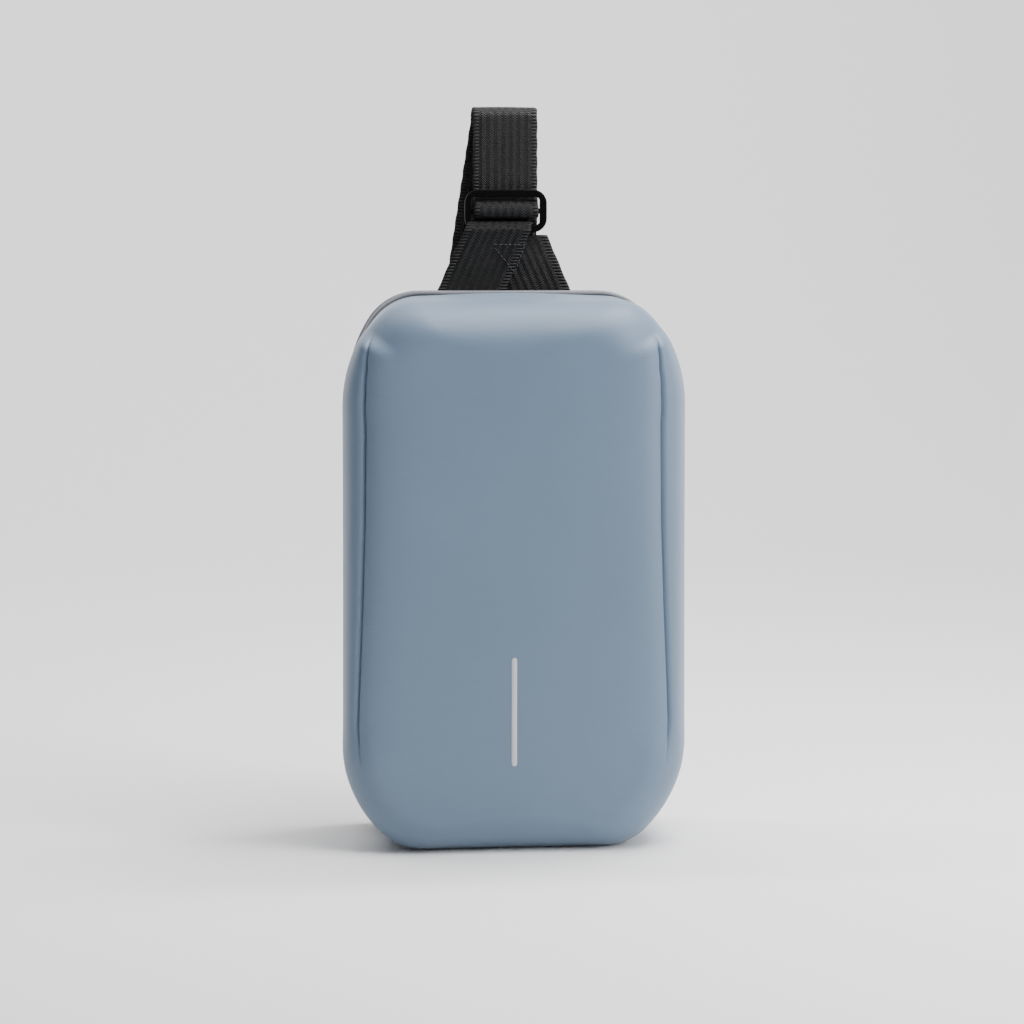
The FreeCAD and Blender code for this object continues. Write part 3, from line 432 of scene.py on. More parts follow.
def shell_rings():
    """Rings of points over the padded front, from the seam to the middle of the face."""
    count = 1100
    edge = shell_outline(count)
    seam = rim_outline(count, 1.2)
    height = edge[:, 1]
    core = np.stack([np.zeros(count), np.clip(height, CORE_LOW, CORE_HIGH)], 1)
    inward = core - edge
    reach = np.hypot(*inward.T)
    inward /= reach[:, None]
    sewn = dart_weight(height)
    radius = 22 + 8 * smoothstep(height, 120, 250)
    join_in = np.interp(height, *zip(*DART_INSETS))
    seam_in = np.sum((seam - edge) * inward, 1)
    near = np.array([0.3, 0.6, 0.95, 1.4, 2.0, 2.8, 4.0, 5.6, 7.6, 10])
    t = np.linspace(0, 1, 120)
    columns = []
    for spot in range(count):
        side = side_profile(seam_in[spot], join_in[spot], FACE_Y + JOIN_DEPTH, radius[spot], sewn[spot], t)
        join = side[-1]
        face = face_profile(join[0], FACE_Y + JOIN_DEPTH, radius[spot], sewn[spot], reach[spot])
        outer = spaced(side[::-1], near, 22)[::-1]
        inner = spaced(face, near, 34)
        profile = np.concatenate([[[9.5, SEAM_Y - 1.6], [8.2, SEAM_Y - 0.2]], outer, [join], inner])
        flat = edge[spot] + inward[spot] * profile[:, :1]
        columns.append(np.stack([flat[:, 0], profile[:, 1], flat[:, 1]], 1))
    rings = np.stack(columns, 1)
    rings[8:, :, 1] -= crown_of_face(rings[8:, :, 0], rings[8:, :, 2]) * smoothstep(-rings[8:, :, 1], 20, 44)
    return rings, 2 + len(near) + 22, sewn


def groove(rings, join_row, sewn):
    """Draw the fabric in along the dart, deeper at each stitch."""
    count = rings.shape[1]
    joined = rings[join_row].copy()
    along = np.cumsum(np.r_[0, np.linalg.norm(np.diff(joined, axis=0), axis=1)])
    stitches = 0.8 + 0.2 * np.cos(TAU * along / 1.9)
    centre = np.stack([np.zeros(count), np.full(count, 20.0), np.clip(joined[:, 2], CORE_LOW, CORE_HIGH)], 1)
    for row in range(join_row - 10, join_row + 11):
        gap = np.linalg.norm(rings[row] - joined, axis=1)
        pull = sewn * (2.6 * stitches * np.exp(-(gap / 0.7) ** 1.2) + 0.35 * np.exp(-(gap / 4.5) ** 2))
        toward = centre - rings[row]
        toward /= np.linalg.norm(toward, axis=1)[:, None]
        rings[row] += toward * pull[:, None]


def settle(rings):
    """Lean the soft front a little to one side, and rest its foot on the floor."""
    rings[..., 0] += LEAN * np.minimum(rings[..., 1] - LEAN_START, 0)
    rings[..., 2] = np.maximum(rings[..., 2], 0.15)


def make_liner(material):
    """Lining over the foam, a foam's thickness inside the skin, turned out to the mouth."""
    rings, _, _ = shell_rings()
    settle(rings)
    around = np.roll(rings, -1, 1) - np.roll(rings, 1, 1)
    inwards = np.gradient(rings, axis=0)
    normal = np.cross(inwards, around)
    normal /= np.linalg.norm(normal, axis=2)[..., None] + 1e-9
    inner = (rings + normal * PLY_DEPTH)[5:-1]
    mouth = rings[:1]
    middle = rings[-1:] + [0, PLY_DEPTH, 0]
    rings = np.concatenate([mouth, inner, middle])
    liner = ring_mesh("shell_liner", rings, material, "shell")
    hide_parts("foam_liner", "lining")


def make_shell(material):
    rings, join_row, sewn = shell_rings()
    groove(rings, join_row, sewn)
    settle(rings)
    shell = ring_mesh("shell_skin", rings, material, "shell")
    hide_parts("front_shell")
    return shell


# ---------------------------------------------------------------- more materials
def plain_fabric(name, colour, roughness=0.7, weave=1100, sheen=0.2):
    """Woven cloth: fine crossed threads over a soft mottle."""
    material = new_material(name, roughness)
    n = Nodes(material)
    threads = n.noise(n.place((weave, weave, weave)), 1.0, 1.0)
    mottle = n.noise(n.place((25, 25, 25)), 1.0, 2.0)
    tint = n.maths("ADD", n.maths("MULTIPLY", threads, 0.5), n.maths("MULTIPLY", mottle, 0.5))
    n.paint(tint, shades(colour, 0.16))
    n.gloss(mottle, roughness - 0.06, roughness + 0.06)
    n.shape(n.bump(threads, 0.0002, 0.6))
    n.surface.inputs["Sheen Weight"].default_value = sheen
    return material


def air_mesh():
    """Spacer mesh: rows of small open cells, their middles painted near black as painted shade inside the
    cells.
    """
    material = new_material("air_mesh", 0.85)
    n = Nodes(material)
    cells = n.add("ShaderNodeTexVoronoi", feature="DISTANCE_TO_EDGE")
    n.join(n.place((420, 420, 330)), cells.inputs["Vector"])
    cells.inputs["Scale"].default_value = 1.0
    cells.inputs["Randomness"].default_value = 0.25
    cell_depth_and_shade = n.maths("SMOOTH_MIN", cells.outputs["Distance"], 0.25, 0.1)
    # painted shade: cell middles near black against lighter cell walls, standing in for the shade inside the
    # open cells
    n.paint(cell_depth_and_shade, [(0.02, (0.034, 0.036, 0.040)), (0.24, (0.008, 0.008, 0.009))])
    n.gloss(cell_depth_and_shade, 0.7, 0.95)
    n.shape(n.bump(n.maths("MULTIPLY", cell_depth_and_shade, -1.0), 0.0012, 0.8))
    n.surface.inputs["Sheen Weight"].default_value = 0.25
    return material


def webbing():
    """Herringbone webbing with ladder selvages, from U across and V along, both in millimetres."""
    material = new_material("webbing", 0.48)
    n = Nodes(material)
    uv = n.add("ShaderNodeUVMap", uv_map="run")
    split = n.add("ShaderNodeSeparateXYZ")
    n.join(uv.outputs["UV"], split.inputs["Vector"])
    across, along = split.outputs["X"], split.outputs["Y"]
    column = n.maths("PINGPONG", across, HERRINGBONE)
    slant = n.maths("ADD", along, n.maths("MULTIPLY", column, 0.8))
    twill = n.maths("SINE", n.maths("MULTIPLY", slant, TAU / 1.3))
    yarn = n.maths("SINE", n.maths("MULTIPLY", across, TAU / 0.75))
    body = n.maths("ADD", n.maths("MULTIPLY", twill, 0.88), n.maths("MULTIPLY", yarn, 0.12))
    ladder = n.maths("MULTIPLY", n.maths("SINE", n.maths("MULTIPLY", along, TAU / 1.9)), 1.2)
    edge = n.maths("GREATER_THAN", n.maths("ABSOLUTE", across), WEBBING_HALF - 3.4)
    mixed = n.add("ShaderNodeMix")
    n.join(edge, mixed.inputs["Factor"])
    n.join(body, mixed.inputs["A"])
    n.join(ladder, mixed.inputs["B"])
    weave = mixed.outputs["Result"]
    lint = n.noise(n.place((60, 60, 60)), 1.0, 3.0)
    level = n.maths("ADD", n.maths("MULTIPLY", weave, 0.4), lint)
    n.paint(level, [(0.15, (0.0015, 0.0015, 0.0017)), (0.9, (0.014, 0.014, 0.0147))])
    n.gloss(lint, 0.42, 0.56)
    n.shape(n.bump(weave, 0.0002, 0.9))
    n.surface.inputs["Specular IOR Level"].default_value = 0.22
    return material


def satin_tape():
    """Zip tape with a rib along each edge and a soft shine."""
    material = new_material("zip_tape", 0.36)
    n = Nodes(material)
    threads = n.noise(n.place((1300, 500, 1300)), 1.0, 1.0)
    mottle = n.noise(n.place((30, 30, 30)), 1.0, 2.0)
    n.paint(mottle, shades((0.14, 0.15, 0.178), 0.08))
    n.gloss(mottle, 0.32, 0.42)
    n.shape(n.bump(threads, 0.00012, 0.6))
    return material


def hard_plastic(name, colour, roughness, specular=0.5):
    """Moulded part with a fine spark-eroded grain."""
    material = new_material(name, roughness)
    n = Nodes(material)
    grain = n.noise(n.place((2200, 2200, 2200)), 1.0, 2.0)
    wear = n.noise(n.place((60, 60, 60)), 1.0, 3.0)
    n.paint(wear, shades(colour, 0.12))
    n.gloss(wear, roughness - 0.06, roughness + 0.06)
    n.shape(n.bump(grain, 0.00004, 0.5))
    n.surface.inputs["Specular IOR Level"].default_value = specular
    return material


def gunmetal():
    """Dark plated metal with faint rubbing marks."""
    material = new_material("gunmetal", 0.3, metallic=1.0)
    n = Nodes(material)
    rub = n.noise(n.place((300, 300, 900)), 1.0, 4.0)
    n.paint(rub, shades((0.20, 0.20, 0.215), 0.12))
    n.gloss(rub, 0.24, 0.38)
    n.shape(n.bump(rub, 0.00003, 0.4))
    return material


def reflective_film():
    """Grey reflective transfer made of tiny beads."""
    material = new_material("reflective_film", 0.4)
    n = Nodes(material)
    beads = n.noise(n.place((3000, 3000, 3000)), 1.0, 1.0)
    n.paint(beads, shades((0.49, 0.50, 0.51), 0.06))
    n.gloss(beads, 0.34, 0.46)
    n.shape(n.bump(beads, 0.00003, 0.5))
    return material


# ---------------------------------------------------------------- runs round the rim
def close_rings(loops, closed):
    """Faces between the points of a section carried along a path."""
    columns = loops.shape[1]
    faces = grid_faces(loops.shape[0], columns, True)
    if closed:
        last = (loops.shape[0] - 1) * columns
        for column in range(columns):
            following = (column + 1) % columns
            faces.append((last + column, last + following, following, column))
    else:
        faces.append(tuple(range(columns))[::-1])
        faces.append(tuple(range((loops.shape[0] - 1) * columns, loops.shape[0] * columns)))
    return faces


def inward_normals(path, closed):
    """Unit vectors to the left of a path of points in the X-Z plane."""
    if closed:
        step = np.roll(path, -1, 0) - np.roll(path, 1, 0)
    else:
        step = np.gradient(path, axis=0)
    step /= np.linalg.norm(step, axis=1)[:, None]
    return np.stack([-step[:, 1], step[:, 0]], 1)


def rim_path(count, part="all"):
    """The seam's outline: all of it, only where the zip runs, or only the foot."""
    path = rim_outline(count)
    if part == "zip":
        start = int(np.argmax(path[:, 1] > ZIP_END))
        stop = count - int(np.argmax(path[::-1][:, 1] > ZIP_END))
        return path[start:stop]
    if part == "foot":
        path = np.roll(path, count // 2, 0)
        return path[path[:, 1] < ZIP_END + FOOT_LAP]
    return path


def rim_run(name, section, part, material, body, count=720):
    """A section, as (place along Y, inset from the seam's outline) points, carried round the rim."""
    path = rim_path(count, part)
    inward = inward_normals(path, part == "all")
    section = np.asarray(section, float)
    flat = path[:, None, :] + inward[:, None, :] * section[None, :, 1, None]
    y = np.broadcast_to(section[None, :, 0], flat.shape[:2])
    loops = np.stack([flat[..., 0], y, flat[..., 1]], 2)
    return loop_mesh(name, loops, part == "all", material, body)


def oval(y, inset, radius_y, radius_in, count=12):
    angles = np.linspace(0, TAU, count, endpoint=False)
    return [(y + radius_y * math.cos(a), inset - radius_in * math.sin(a)) for a in angles]


def tape_section(start, end, inset, thickness, ribs=()):
    """Thin band with rounded edges and raised ribs along its outer face."""
    places = np.linspace(start + 0.3, end - 0.3, 34)
    lift = sum((0.35 * np.exp(-((places - rib) / 0.45) ** 2) for rib in ribs), np.zeros_like(places))
    outside = [(y, inset - up) for y, up in zip(places, lift)]
    inside = [(y, inset + thickness) for y in places[::-1]]
    return [(start, inset + thickness * 0.5), *outside, (end, inset + thickness * 0.5), *inside]


def stitch_row(name, points, normals, material, body, length=2.4, gap=0.9, radius=0.28):
    """Thread stitches sunk into cloth along a line of points."""
    points = np.asarray(points, float)
    steps = np.r_[0, np.cumsum(np.linalg.norm(np.diff(points, axis=0), axis=1))]
    spots, faces = [], []
    sides = 5
    waist = [(-0.5, 0.15), (-0.36, 0.85), (0, 1.0), (0.36, 0.85), (0.5, 0.15)]
    for start in np.arange(gap, steps[-1] - length, length + gap):
        middle = start + length / 2
        at = np.array([np.interp(middle, steps, points[:, axis]) for axis in range(3)])
        ahead = np.array([np.interp(middle + 0.2, steps, points[:, axis]) for axis in range(3)]) - at
        ahead /= np.linalg.norm(ahead) or 1
        up = np.array([np.interp(middle, steps, normals[:, axis]) for axis in range(3)])
        up /= np.linalg.norm(up) or 1
        beside = np.cross(ahead, up)
        first = len(spots)
        for along, width in waist:
            for turn in np.arange(sides) * TAU / sides:
                around = up * math.cos(turn) + beside * math.sin(turn)
                sink = up * (-0.5 * radius * (abs(along) * 2) ** 2)
                spots.append(at + ahead * along * length + around * radius * width + sink)
        for ring in range(len(waist) - 1):
            for side in range(sides):
                after = (side + 1) % sides
                faces.append((first + ring * sides + side, first + ring * sides + after,
                              first + (ring + 1) * sides + after, first + (ring + 1) * sides + side))
        faces.append(tuple(first + side for side in range(sides))[::-1])
        faces.append(tuple(first + (len(waist) - 1) * sides + side for side in range(sides)))
    return mesh_object(name, spots, faces, material, body)


def make_rim():
    """Piping, zip tapes, gussets and coils round the seam."""
    front_y, back_y = mid_y("piping_front"), mid_y("piping_back")
    covers = (("piping_front", front_y, 2.3, (front_y + 0.4, front_y + 4.0, 3.0), "shell"),
              ("piping_back", back_y, 1.7, (back_y - 4.0, back_y - 0.4, 3.2), "back_panel"))
    for name, y, inset, (start, end, depth), body in covers:
        made = rim_run(f"{name}_cover", oval(y, inset, 1.5, 1.5), "all", BINDING, body)
        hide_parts(name)
        allowance = tape_section(start, end, depth, 0.7)
        rim_run(f"{name}_allowance", allowance, "all", BINDING, body)
    for side, body in (("front", "shell"), ("rear", "back_panel")):
        start, end = low(f"zip_tape_{side}")[1], high(f"zip_tape_{side}")[1]
        ribs = (start + 1.4, end - 1.4) if side == "front" else (end - 1.2, start + 2.6)
        section = tape_section(start, end, TAPE_IN, TAPE, ribs)
        made = rim_run(f"zip_tape_{side}_weave", section, "zip", TAPE_MATERIAL, body)
        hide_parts(f"zip_tape_{side}")
    for name, body in (("base_gusset", "shell"), ("panel_foot_band", "back_panel")):
        start, end = low(name)[1], high(name)[1]
        section = tape_section(start, end, TAPE_IN - 0.15, TAPE, (start + 1.2, end - 1.2))
        made = rim_run(f"{name}_cover", section, "foot", GUSSET, body)
        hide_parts(name)
    make_coils()


def make_coils():
    """Interlocking coil of the main zip, one half on each tape, as a real helix."""
    path = rim_path(6000, "zip")
    inward = inward_normals(path, False)
    steps = np.r_[0, np.cumsum(np.hypot(*np.diff(path, axis=0).T))]
    pitch, per_turn = 1.5, 8
    along = np.arange(0, steps[-1], pitch / per_turn)
    base = np.stack([np.interp(along, steps, path[:, axis]) for axis in range(2)], 1)
    normal = np.stack([np.interp(along, steps, inward[:, axis]) for axis in range(2)], 1)
    for side, sign, body in (("front", -1, "shell"), ("rear", 1, "back_panel")):
        phase = TAU * along / pitch + (0 if sign < 0 else math.pi)
        centre_y = HINGE_Y + sign * 1.5
        y = centre_y - sign * 1.55 * np.cos(phase)
        depth = COIL_IN + 0.6 + 0.62 * np.sin(phase)
        flat = base + normal * depth[:, None]
        line = np.stack([flat[:, 0], y, flat[:, 1]], 1)
        made = wire(f"zip_coil_{side}_turns", line, 0.3, 5, COIL, body)
        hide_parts(f"zip_coil_{side}")


def wire(name, line, radius, sides, material, body):
    """Round wire along a line of points."""
    tangent = np.gradient(line, axis=0)
    tangent /= np.linalg.norm(tangent, axis=1)[:, None]
    reference = np.array([0.3, 1.0, 0.2])
    across = np.cross(tangent, reference)
    across /= np.linalg.norm(across, axis=1)[:, None]
    above = np.cross(tangent, across)
    angles = np.linspace(0, TAU, sides, endpoint=False)
    loops = np.stack([line + radius * (across * math.cos(a) + above * math.sin(a)) for a in angles], 1)
    return loop_mesh(name, loops, False, material, body)


# ---------------------------------------------------------------- webbing
def ribbon(name, line, across, width, thickness, material, body, hidden=()):
    """Webbing along a line of points: soft selvages, and U across with V along in millimetres."""
    line = np.asarray(line, float)
    steps = np.r_[0, np.cumsum(np.linalg.norm(np.diff(line, axis=0), axis=1))]
    count = max(4, int(steps[-1] / 1.6))
    wanted = np.linspace(0, steps[-1], count)
    line = np.stack([np.interp(wanted, steps, line[:, axis]) for axis in range(3)], 1)
    across = np.asarray(across, float)
    if across.ndim == 1:
        across = np.broadcast_to(across, line.shape)
    else:
        across = np.stack([np.interp(wanted, steps, across[:, axis]) for axis in range(3)], 1)
    width = np.interp(wanted, steps, width) if np.ndim(width) else np.full(count, width)
    tangent = np.gradient(line, axis=0)
    tangent /= np.linalg.norm(tangent, axis=1)[:, None]
    normal = np.cross(across, tangent)
    normal /= np.linalg.norm(normal, axis=1)[:, None]
    places = np.concatenate([np.linspace(-1, -0.8, 6), np.linspace(-0.76, 0.76, 22), np.linspace(0.8, 1, 6)])
    swell = np.sqrt(np.clip(1 - np.abs(places) ** 26, 0, 1)) * (0.9 + 0.1 * np.cos(places * 4))
    groove_at = np.exp(-((np.abs(places) - 0.805) / 0.025) ** 2)
    half = thickness / 2 * np.maximum(swell - 0.22 * groove_at, 0.12)
    scallop = 0.16 * np.cos(TAU * wanted / 1.9)
    upper = line[:, None] + across[:, None] * (places[None, :, None] * (width / 2)[:, None, None])
    edge = (np.abs(places) > 0.985) * np.sign(places)
    upper = upper + across[:, None] * (scallop[:, None] * edge[None])[..., None]
    loops = np.concatenate([upper + normal[:, None] * half[None, :, None],
                            (upper - normal[:, None] * half[None, :, None])[:, ::-1]], 1)
    made = loop_mesh(name, loops, False, material, body)
    paint_run(made, loops.shape[1], np.concatenate([places, places[::-1]]), wanted, float(np.mean(width)))
    if hidden:
        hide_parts(*hidden)
    return made


def paint_run(made, columns, places, along, width):
    """UV map in millimetres: across the webbing and along it."""
    mesh = made.data
    layer = mesh.uv_layers.new(name="run")
    index = np.empty(len(mesh.loops), int)
    mesh.loops.foreach_get("vertex_index", index)
    uv = np.stack([places[index % columns] * width / 2, along[index // columns]], 1)
    layer.data.foreach_set("uv", uv.ravel())


def bend(line, radius):
    """Round the corners of a polyline."""
    line = np.asarray(line, float)
    soft = [line[0]]
    for before, at, after in zip(line, line[1:], line[2:]):
        back = min(radius, np.linalg.norm(at - before) * 0.45)
        on = min(radius, np.linalg.norm(after - at) * 0.45)
        enter = at + (before - at) / np.linalg.norm(before - at) * back
        leave = at + (after - at) / np.linalg.norm(after - at) * on
        for t in np.linspace(0, 1, 9):
            soft.append((1 - t) ** 2 * enter + 2 * t * (1 - t) * at + t * t * leave)
    soft.append(line[-1])
    return np.array(soft)


def half_turn(x, centre_y, centre_z, radius, start, end, count=28):
    """Arc of points in the Y-Z plane."""
    return [(x, centre_y + radius * math.cos(a), centre_z + radius * math.sin(a))
            for a in np.radians(np.linspace(start, end, count))]


def make_strap():
    """Shoulder strap from its tail, through the adjuster, over the top and down to the hook's eye."""
    glide_y, glide_z = mid_y("strap_adjuster"), mid_z("strap_adjuster")
    top = high("shoulder_strap")[2] - STRAP_FOLD - WEBBING / 2
    end_x, end_z = mid_x("swivel_eye"), SWIVEL_BAR_Z
    back_y = STRAP_BACK_Y
    front_y = back_y - 2 * STRAP_FOLD
    rise = bend([(0, TAIL_Y, low("shoulder_strap")[2]), (0, TAIL_Y, 318), (0, glide_y + 5.6, glide_z - 5.2),
                 (0, glide_y - 3, glide_z - 3.2), (0, glide_y - 3, glide_z + 3.2), (0, front_y, glide_z + 7),
                 (0, front_y, top)], 3)
    fold = half_turn(0, (front_y + back_y) / 2, top, STRAP_FOLD, 180, 0)
    drop = [(end_x * t, back_y, top + (end_z - top) * t) for t in np.linspace(0, 1, 60)][1:]
    line = np.concatenate([rise, fold[1:], drop[:-3]])
    lean = np.array([top - end_z, 0, end_x])
    lean /= np.linalg.norm(lean)
    level = np.zeros(len(rise) + len(fold) - 1)
    turned = smoothstep(np.r_[level, np.linspace(0, 4, len(drop) - 3)], 0, 1)
    across = (1 - turned)[:, None] * np.array([1.0, 0, 0]) + turned[:, None] * lean
    ribbon("shoulder_strap_run", line, across, WEBBING_HALF * 2, WEBBING, WEB, "back_panel",
           ("shoulder_strap",))
    close = bend([drop[-6], (end_x, back_y + 1.4, end_z + 5), (end_x, back_y + 3.3, end_z + 0.5)], 4)
    around = half_turn(end_x, back_y, end_z, SWIVEL_BORE + WEBBING / 2, 0, -200)
    finish = [(end_x + 1.2, back_y - 2.1, end_z + 7), (end_x + 3.2, back_y - 1.6, end_z + 22)]
    ribbon("strap_end_fold", np.concatenate([close, around, finish]), (1.0, 0, 0), WEBBING_HALF * 2,
           WEBBING, WEB, "back_panel")
    hem = bend([(0, TAIL_Y + 1.5, 118), (0, TAIL_Y + 1.5, 98), (0, TAIL_Y, 95.2)], 1.2)
    ribbon("strap_tail_hem", hem, (1.0, 0, 0), WEBBING_HALF * 2, WEBBING, WEB, "back_panel")


def make_yoke():
    """Two slanted legs of webbing; the front one folds over the adjuster's lower bar and is sewn down."""
    base_z = low("strap_yoke")[2]
    middle = WEBBING / 2
    foot, head = YOKE_FEET[0], YOKE_HEADS[0]
    rise = [(foot + (head - foot) * t, YOKE_LEFT_Y + middle - YOKE_PULL * t ** 6,
             base_z + (YOKE_BAR_Z - base_z) * t) for t in np.linspace(0, 1, 40)]
    over = half_turn(head, mid_y("strap_adjuster"), YOKE_BAR_Z, 3.7, 180, -10)
    over = [(x + 3.2 * t, y, z) for (x, y, z), t in zip(over, np.linspace(0, 1, len(over)))]
    tuck = [(head + 3.6, mid_y("strap_adjuster") + 3.2, YOKE_BAR_Z - 6),
            (head + 4.4, mid_y("strap_adjuster") + 1.9, YOKE_BAR_Z - 20)]
    width = np.interp(np.arange(40 + len(over) + 1), [0, 30, 40, 70], [39.4, 39.0, 37.6, 37])
    ribbon("yoke_leg_left", np.concatenate([rise, over[1:], tuck]), (1.0, 0, 0), width, WEBBING, WEB,
           "back_panel", ("strap_yoke",))
    foot, head = YOKE_FEET[1], YOKE_HEADS[1]
    rise = [(foot + (head - foot) * t, YOKE_RIGHT_Y + middle + 0.25, base_z + (YOKE_TOP - base_z) * t)
            for t in np.linspace(0, 1, 30)]
    ribbon("yoke_leg_right", rise, (1.0, 0, 0), 39.4, WEBBING, WEB, "back_panel")
    corners = [(-8.2, 334), (10.4, 334), (4.6, 318), (-8.2, 334)]
    triangle = [(x, YOKE_LEFT_Y - 0.2 - YOKE_PULL * ((z - base_z) / (YOKE_BAR_Z - base_z)) ** 6, z)
                for x, z in corners]
    stitch_row("yoke_stitches", triangle, np.tile([0.0, -1.0, 0], (4, 1)), THREAD, "back_panel",
               2.0, 0.7, 0.24)


def sewn_box(name, centre, half_w, half_h, y, outward):
    """Box of stitches with a cross in it, on a face that looks along Y."""
    x, z = centre
    corners = [(-1, -1), (1, -1), (1, 1), (-1, 1), (-1, -1), (1, 1)]
    line = [(x + across * half_w, y, z + up * half_h) for across, up in corners]
    stitch_row(name, line, np.tile([0.0, outward, 0], (len(line), 1)), THREAD, "back_panel")
    line = [(x + half_w, y + 0.1 * outward, z - half_h), (x - half_w, y + 0.1 * outward, z + half_h)]
    stitch_row(f"{name}_cross", line, np.tile([0.0, outward, 0], (2, 1)), THREAD, "back_panel")


def make_reflective_bar(skin):
    """Thin round-ended transfer that follows the face."""
    half_w, half_h = size("reflective_bar")[0] / 2, size("reflective_bar")[2] / 2
    centre_x = mid_x("reflective_bar") + LEAN * (FACE_Y - LEAN_START)
    ends = half_w * (1 - np.cos(np.linspace(0, math.pi / 2, 7)))
    straight = np.linspace(-half_h + half_w + 1, half_h - half_w - 1, 50)
    levels = np.r_[-half_h + ends, straight, half_h - ends[::-1]]
    loops = []
    for level in levels:
        past = max(abs(level) - (half_h - half_w), 0)
        half = max(math.sqrt(max(half_w ** 2 - past ** 2, 0)), 0.05)
        section = [(-half, -0.3), (-half, 0.1), (-half * 0.9, 0.22), (0, 0.24),
                   (half * 0.9, 0.22), (half, 0.1), (half, -0.3)]
        z = mid_z("reflective_bar") + level
        loops.append([on_skin(skin, centre_x + x, z, out) for x, out in section])
    loops = np.array(loops)
    made = loop_mesh("reflective_bar_film", loops, False, REFLECTIVE, "shell")
    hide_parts("reflective_bar")


def on_skin(skin, x, z, out):
    """Point that stands out by a little from the skin's front."""
    start = Vector((x, FACE_Y * 2, z)) * MM
    _, place, _, _ = skin.ray_cast(start, Vector((0, 1, 0)))
    return x, place.y / MM - out, z


# ---------------------------------------------------------------- back panel
def panel_rings(insets, depths, rows_to_middle, count=720):
    """Rings from the rim towards the middle line, at given insets then evenly on to the middle."""
    edge = rim_outline(count)
    core = np.stack([np.zeros(count), np.clip(edge[:, 1], CORE_LOW, CORE_HIGH)], 1)
    inward = core - edge
    reach = np.hypot(*inward.T)
    inward /= reach[:, None]
    rings = []
    for inset, depth in zip(insets, depths):
        flat = edge + inward * inset
        rings.append(np.stack([flat[:, 0], np.full(count, depth), flat[:, 1]], 1))
    for share in np.linspace(0, 1, rows_to_middle)[1:]:
        flat = edge + inward * (insets[-1] + (reach - insets[-1]) * share)[:, None]
        rings.append(np.stack([flat[:, 0], np.full(count, depths[-1]), flat[:, 1]], 1))
    return np.array(rings)


def boxed(x, z, x0, x1, z0, z1, soft):
    """One inside a rectangle and nought outside, with a soft edge."""
    return (smoothstep(x, x0 - soft, x0) * (1 - smoothstep(x, x1, x1 + soft))
            * smoothstep(z, z0 - soft, z0) * (1 - smoothstep(z, z1, z1 + soft)))


def make_back_pad():
    """Air-mesh pad: cushions divided by air channels, with a slot for the pocket's zip."""
    rings = panel_rings((6.0, 4.2, 3.4, 3.4, 3.8, 4.8, 6.6), (44.8, 44.9, 45.4, 47.2, 48.5, 49.6, 50.1), 84)
    face = rings[6:]
    x, z = face[..., 0], face[..., 2]
    dip = np.zeros_like(x)
    for level in CHANNELS:
        slant = level + 0.0012 * x * x
        dip = np.maximum(dip, np.exp(-np.abs((z - slant) / 4.2) ** 2.6))
    spine = np.exp(-np.abs(x / 6.5) ** 2.6) * smoothstep(z, 24, 44) * (1 - smoothstep(z, 262, 282))
    dip = np.maximum(dip, spine)
    outer = np.minimum(1, np.abs(x) / 74)
    flow = dip * (1 - 0.55 * smoothstep(outer, 0.8, 1.0))
    soft = 0.35 * np.sin(x / 11 + 1.3) * np.sin(z / 17)
    face[..., 1] += -3.3 * flow + soft * 0.4 * (1 - dip) - 0.35
    slot = boxed(x, z, 52.3, 67.7, 84.3, 235.7, 1.1)
    rim = boxed(x, z, 49.6, 70.4, 81.6, 238.4, 1.2) - slot
    face[..., 1] = face[..., 1] * (1 - slot) + 45.4 * slot
    face[..., 1] += np.clip(rim, 0, 1) * (49.4 - face[..., 1]) * 0.8
    rings[6:] = face
    pad = ring_mesh("back_pad_cushion", rings, AIR_MESH, "back_panel")
    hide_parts("back_pad")


def make_panel_core():
    """Foam and board of the back panel under one cover; its front is the lining seen inside the bag."""
    front = panel_rings((3.4, 3.5, 4.2, 5.6, 8), (41.2, 36.5, 34.6, 33.8, 33.5), 40)
    back = panel_rings((3.4, 8), (41.2, 41.3), 30)[1:]
    rings = np.concatenate([back[::-1], front])
    core = ring_mesh("panel_core", rings, LINING, "back_panel")
    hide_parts("panel_lining", "panel_board", "panel_foam")


def make_side_band():
    """Band between the rear tape and the piping, notched at the top where the yoke's legs come out."""
    path = rim_path(900, "all")
    inward = inward_normals(path, True)
    crown = (path[:, 1] > 250) * (1 - smoothstep(np.abs(path[:, 0]), 55, 61))
    begin = 40.5 + 4.8 * crown
    end = np.full(len(path), 47.3)
    loops = []
    section = ((0, 1.6), (0.03, 1.0), (0.5, 0.7), (0.97, 1.0), (1, 1.6), (1, 2.6), (0.5, 2.8), (0, 2.6))
    for share, inset in section:
        flat = path + inward * inset
        loops.append(np.stack([flat[:, 0], begin + (end - begin) * share, flat[:, 1]], 1))
    loops = np.stack(loops, 1)
    loop_mesh("panel_side_band", loops, True, GUSSET, "back_panel")


def make_hinge_strip():
    """Cloth hinge between the two bands at the foot."""
    xs = np.linspace(-44, 44, 45)
    ys = np.linspace(HINGE_Y - 3.2, HINGE_Y + 3.2, 17)
    section = [(y, 1.15 + 0.25 * math.cos((y - HINGE_Y) * 1.2)) for y in ys]
    section += [(y, 2.1) for y in ys[::-1]]
    loops = np.array([[(x, y, z) for y, z in section] for x in xs])
    strip = loop_mesh("hinge_strip", loops, False, GUSSET, None)
    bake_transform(strip)


def make_pockets():
    """Padded tablet sleeve on the front's lining, and the mesh pocket on the panel."""
    make_sleeve()
    make_mesh_pocket()


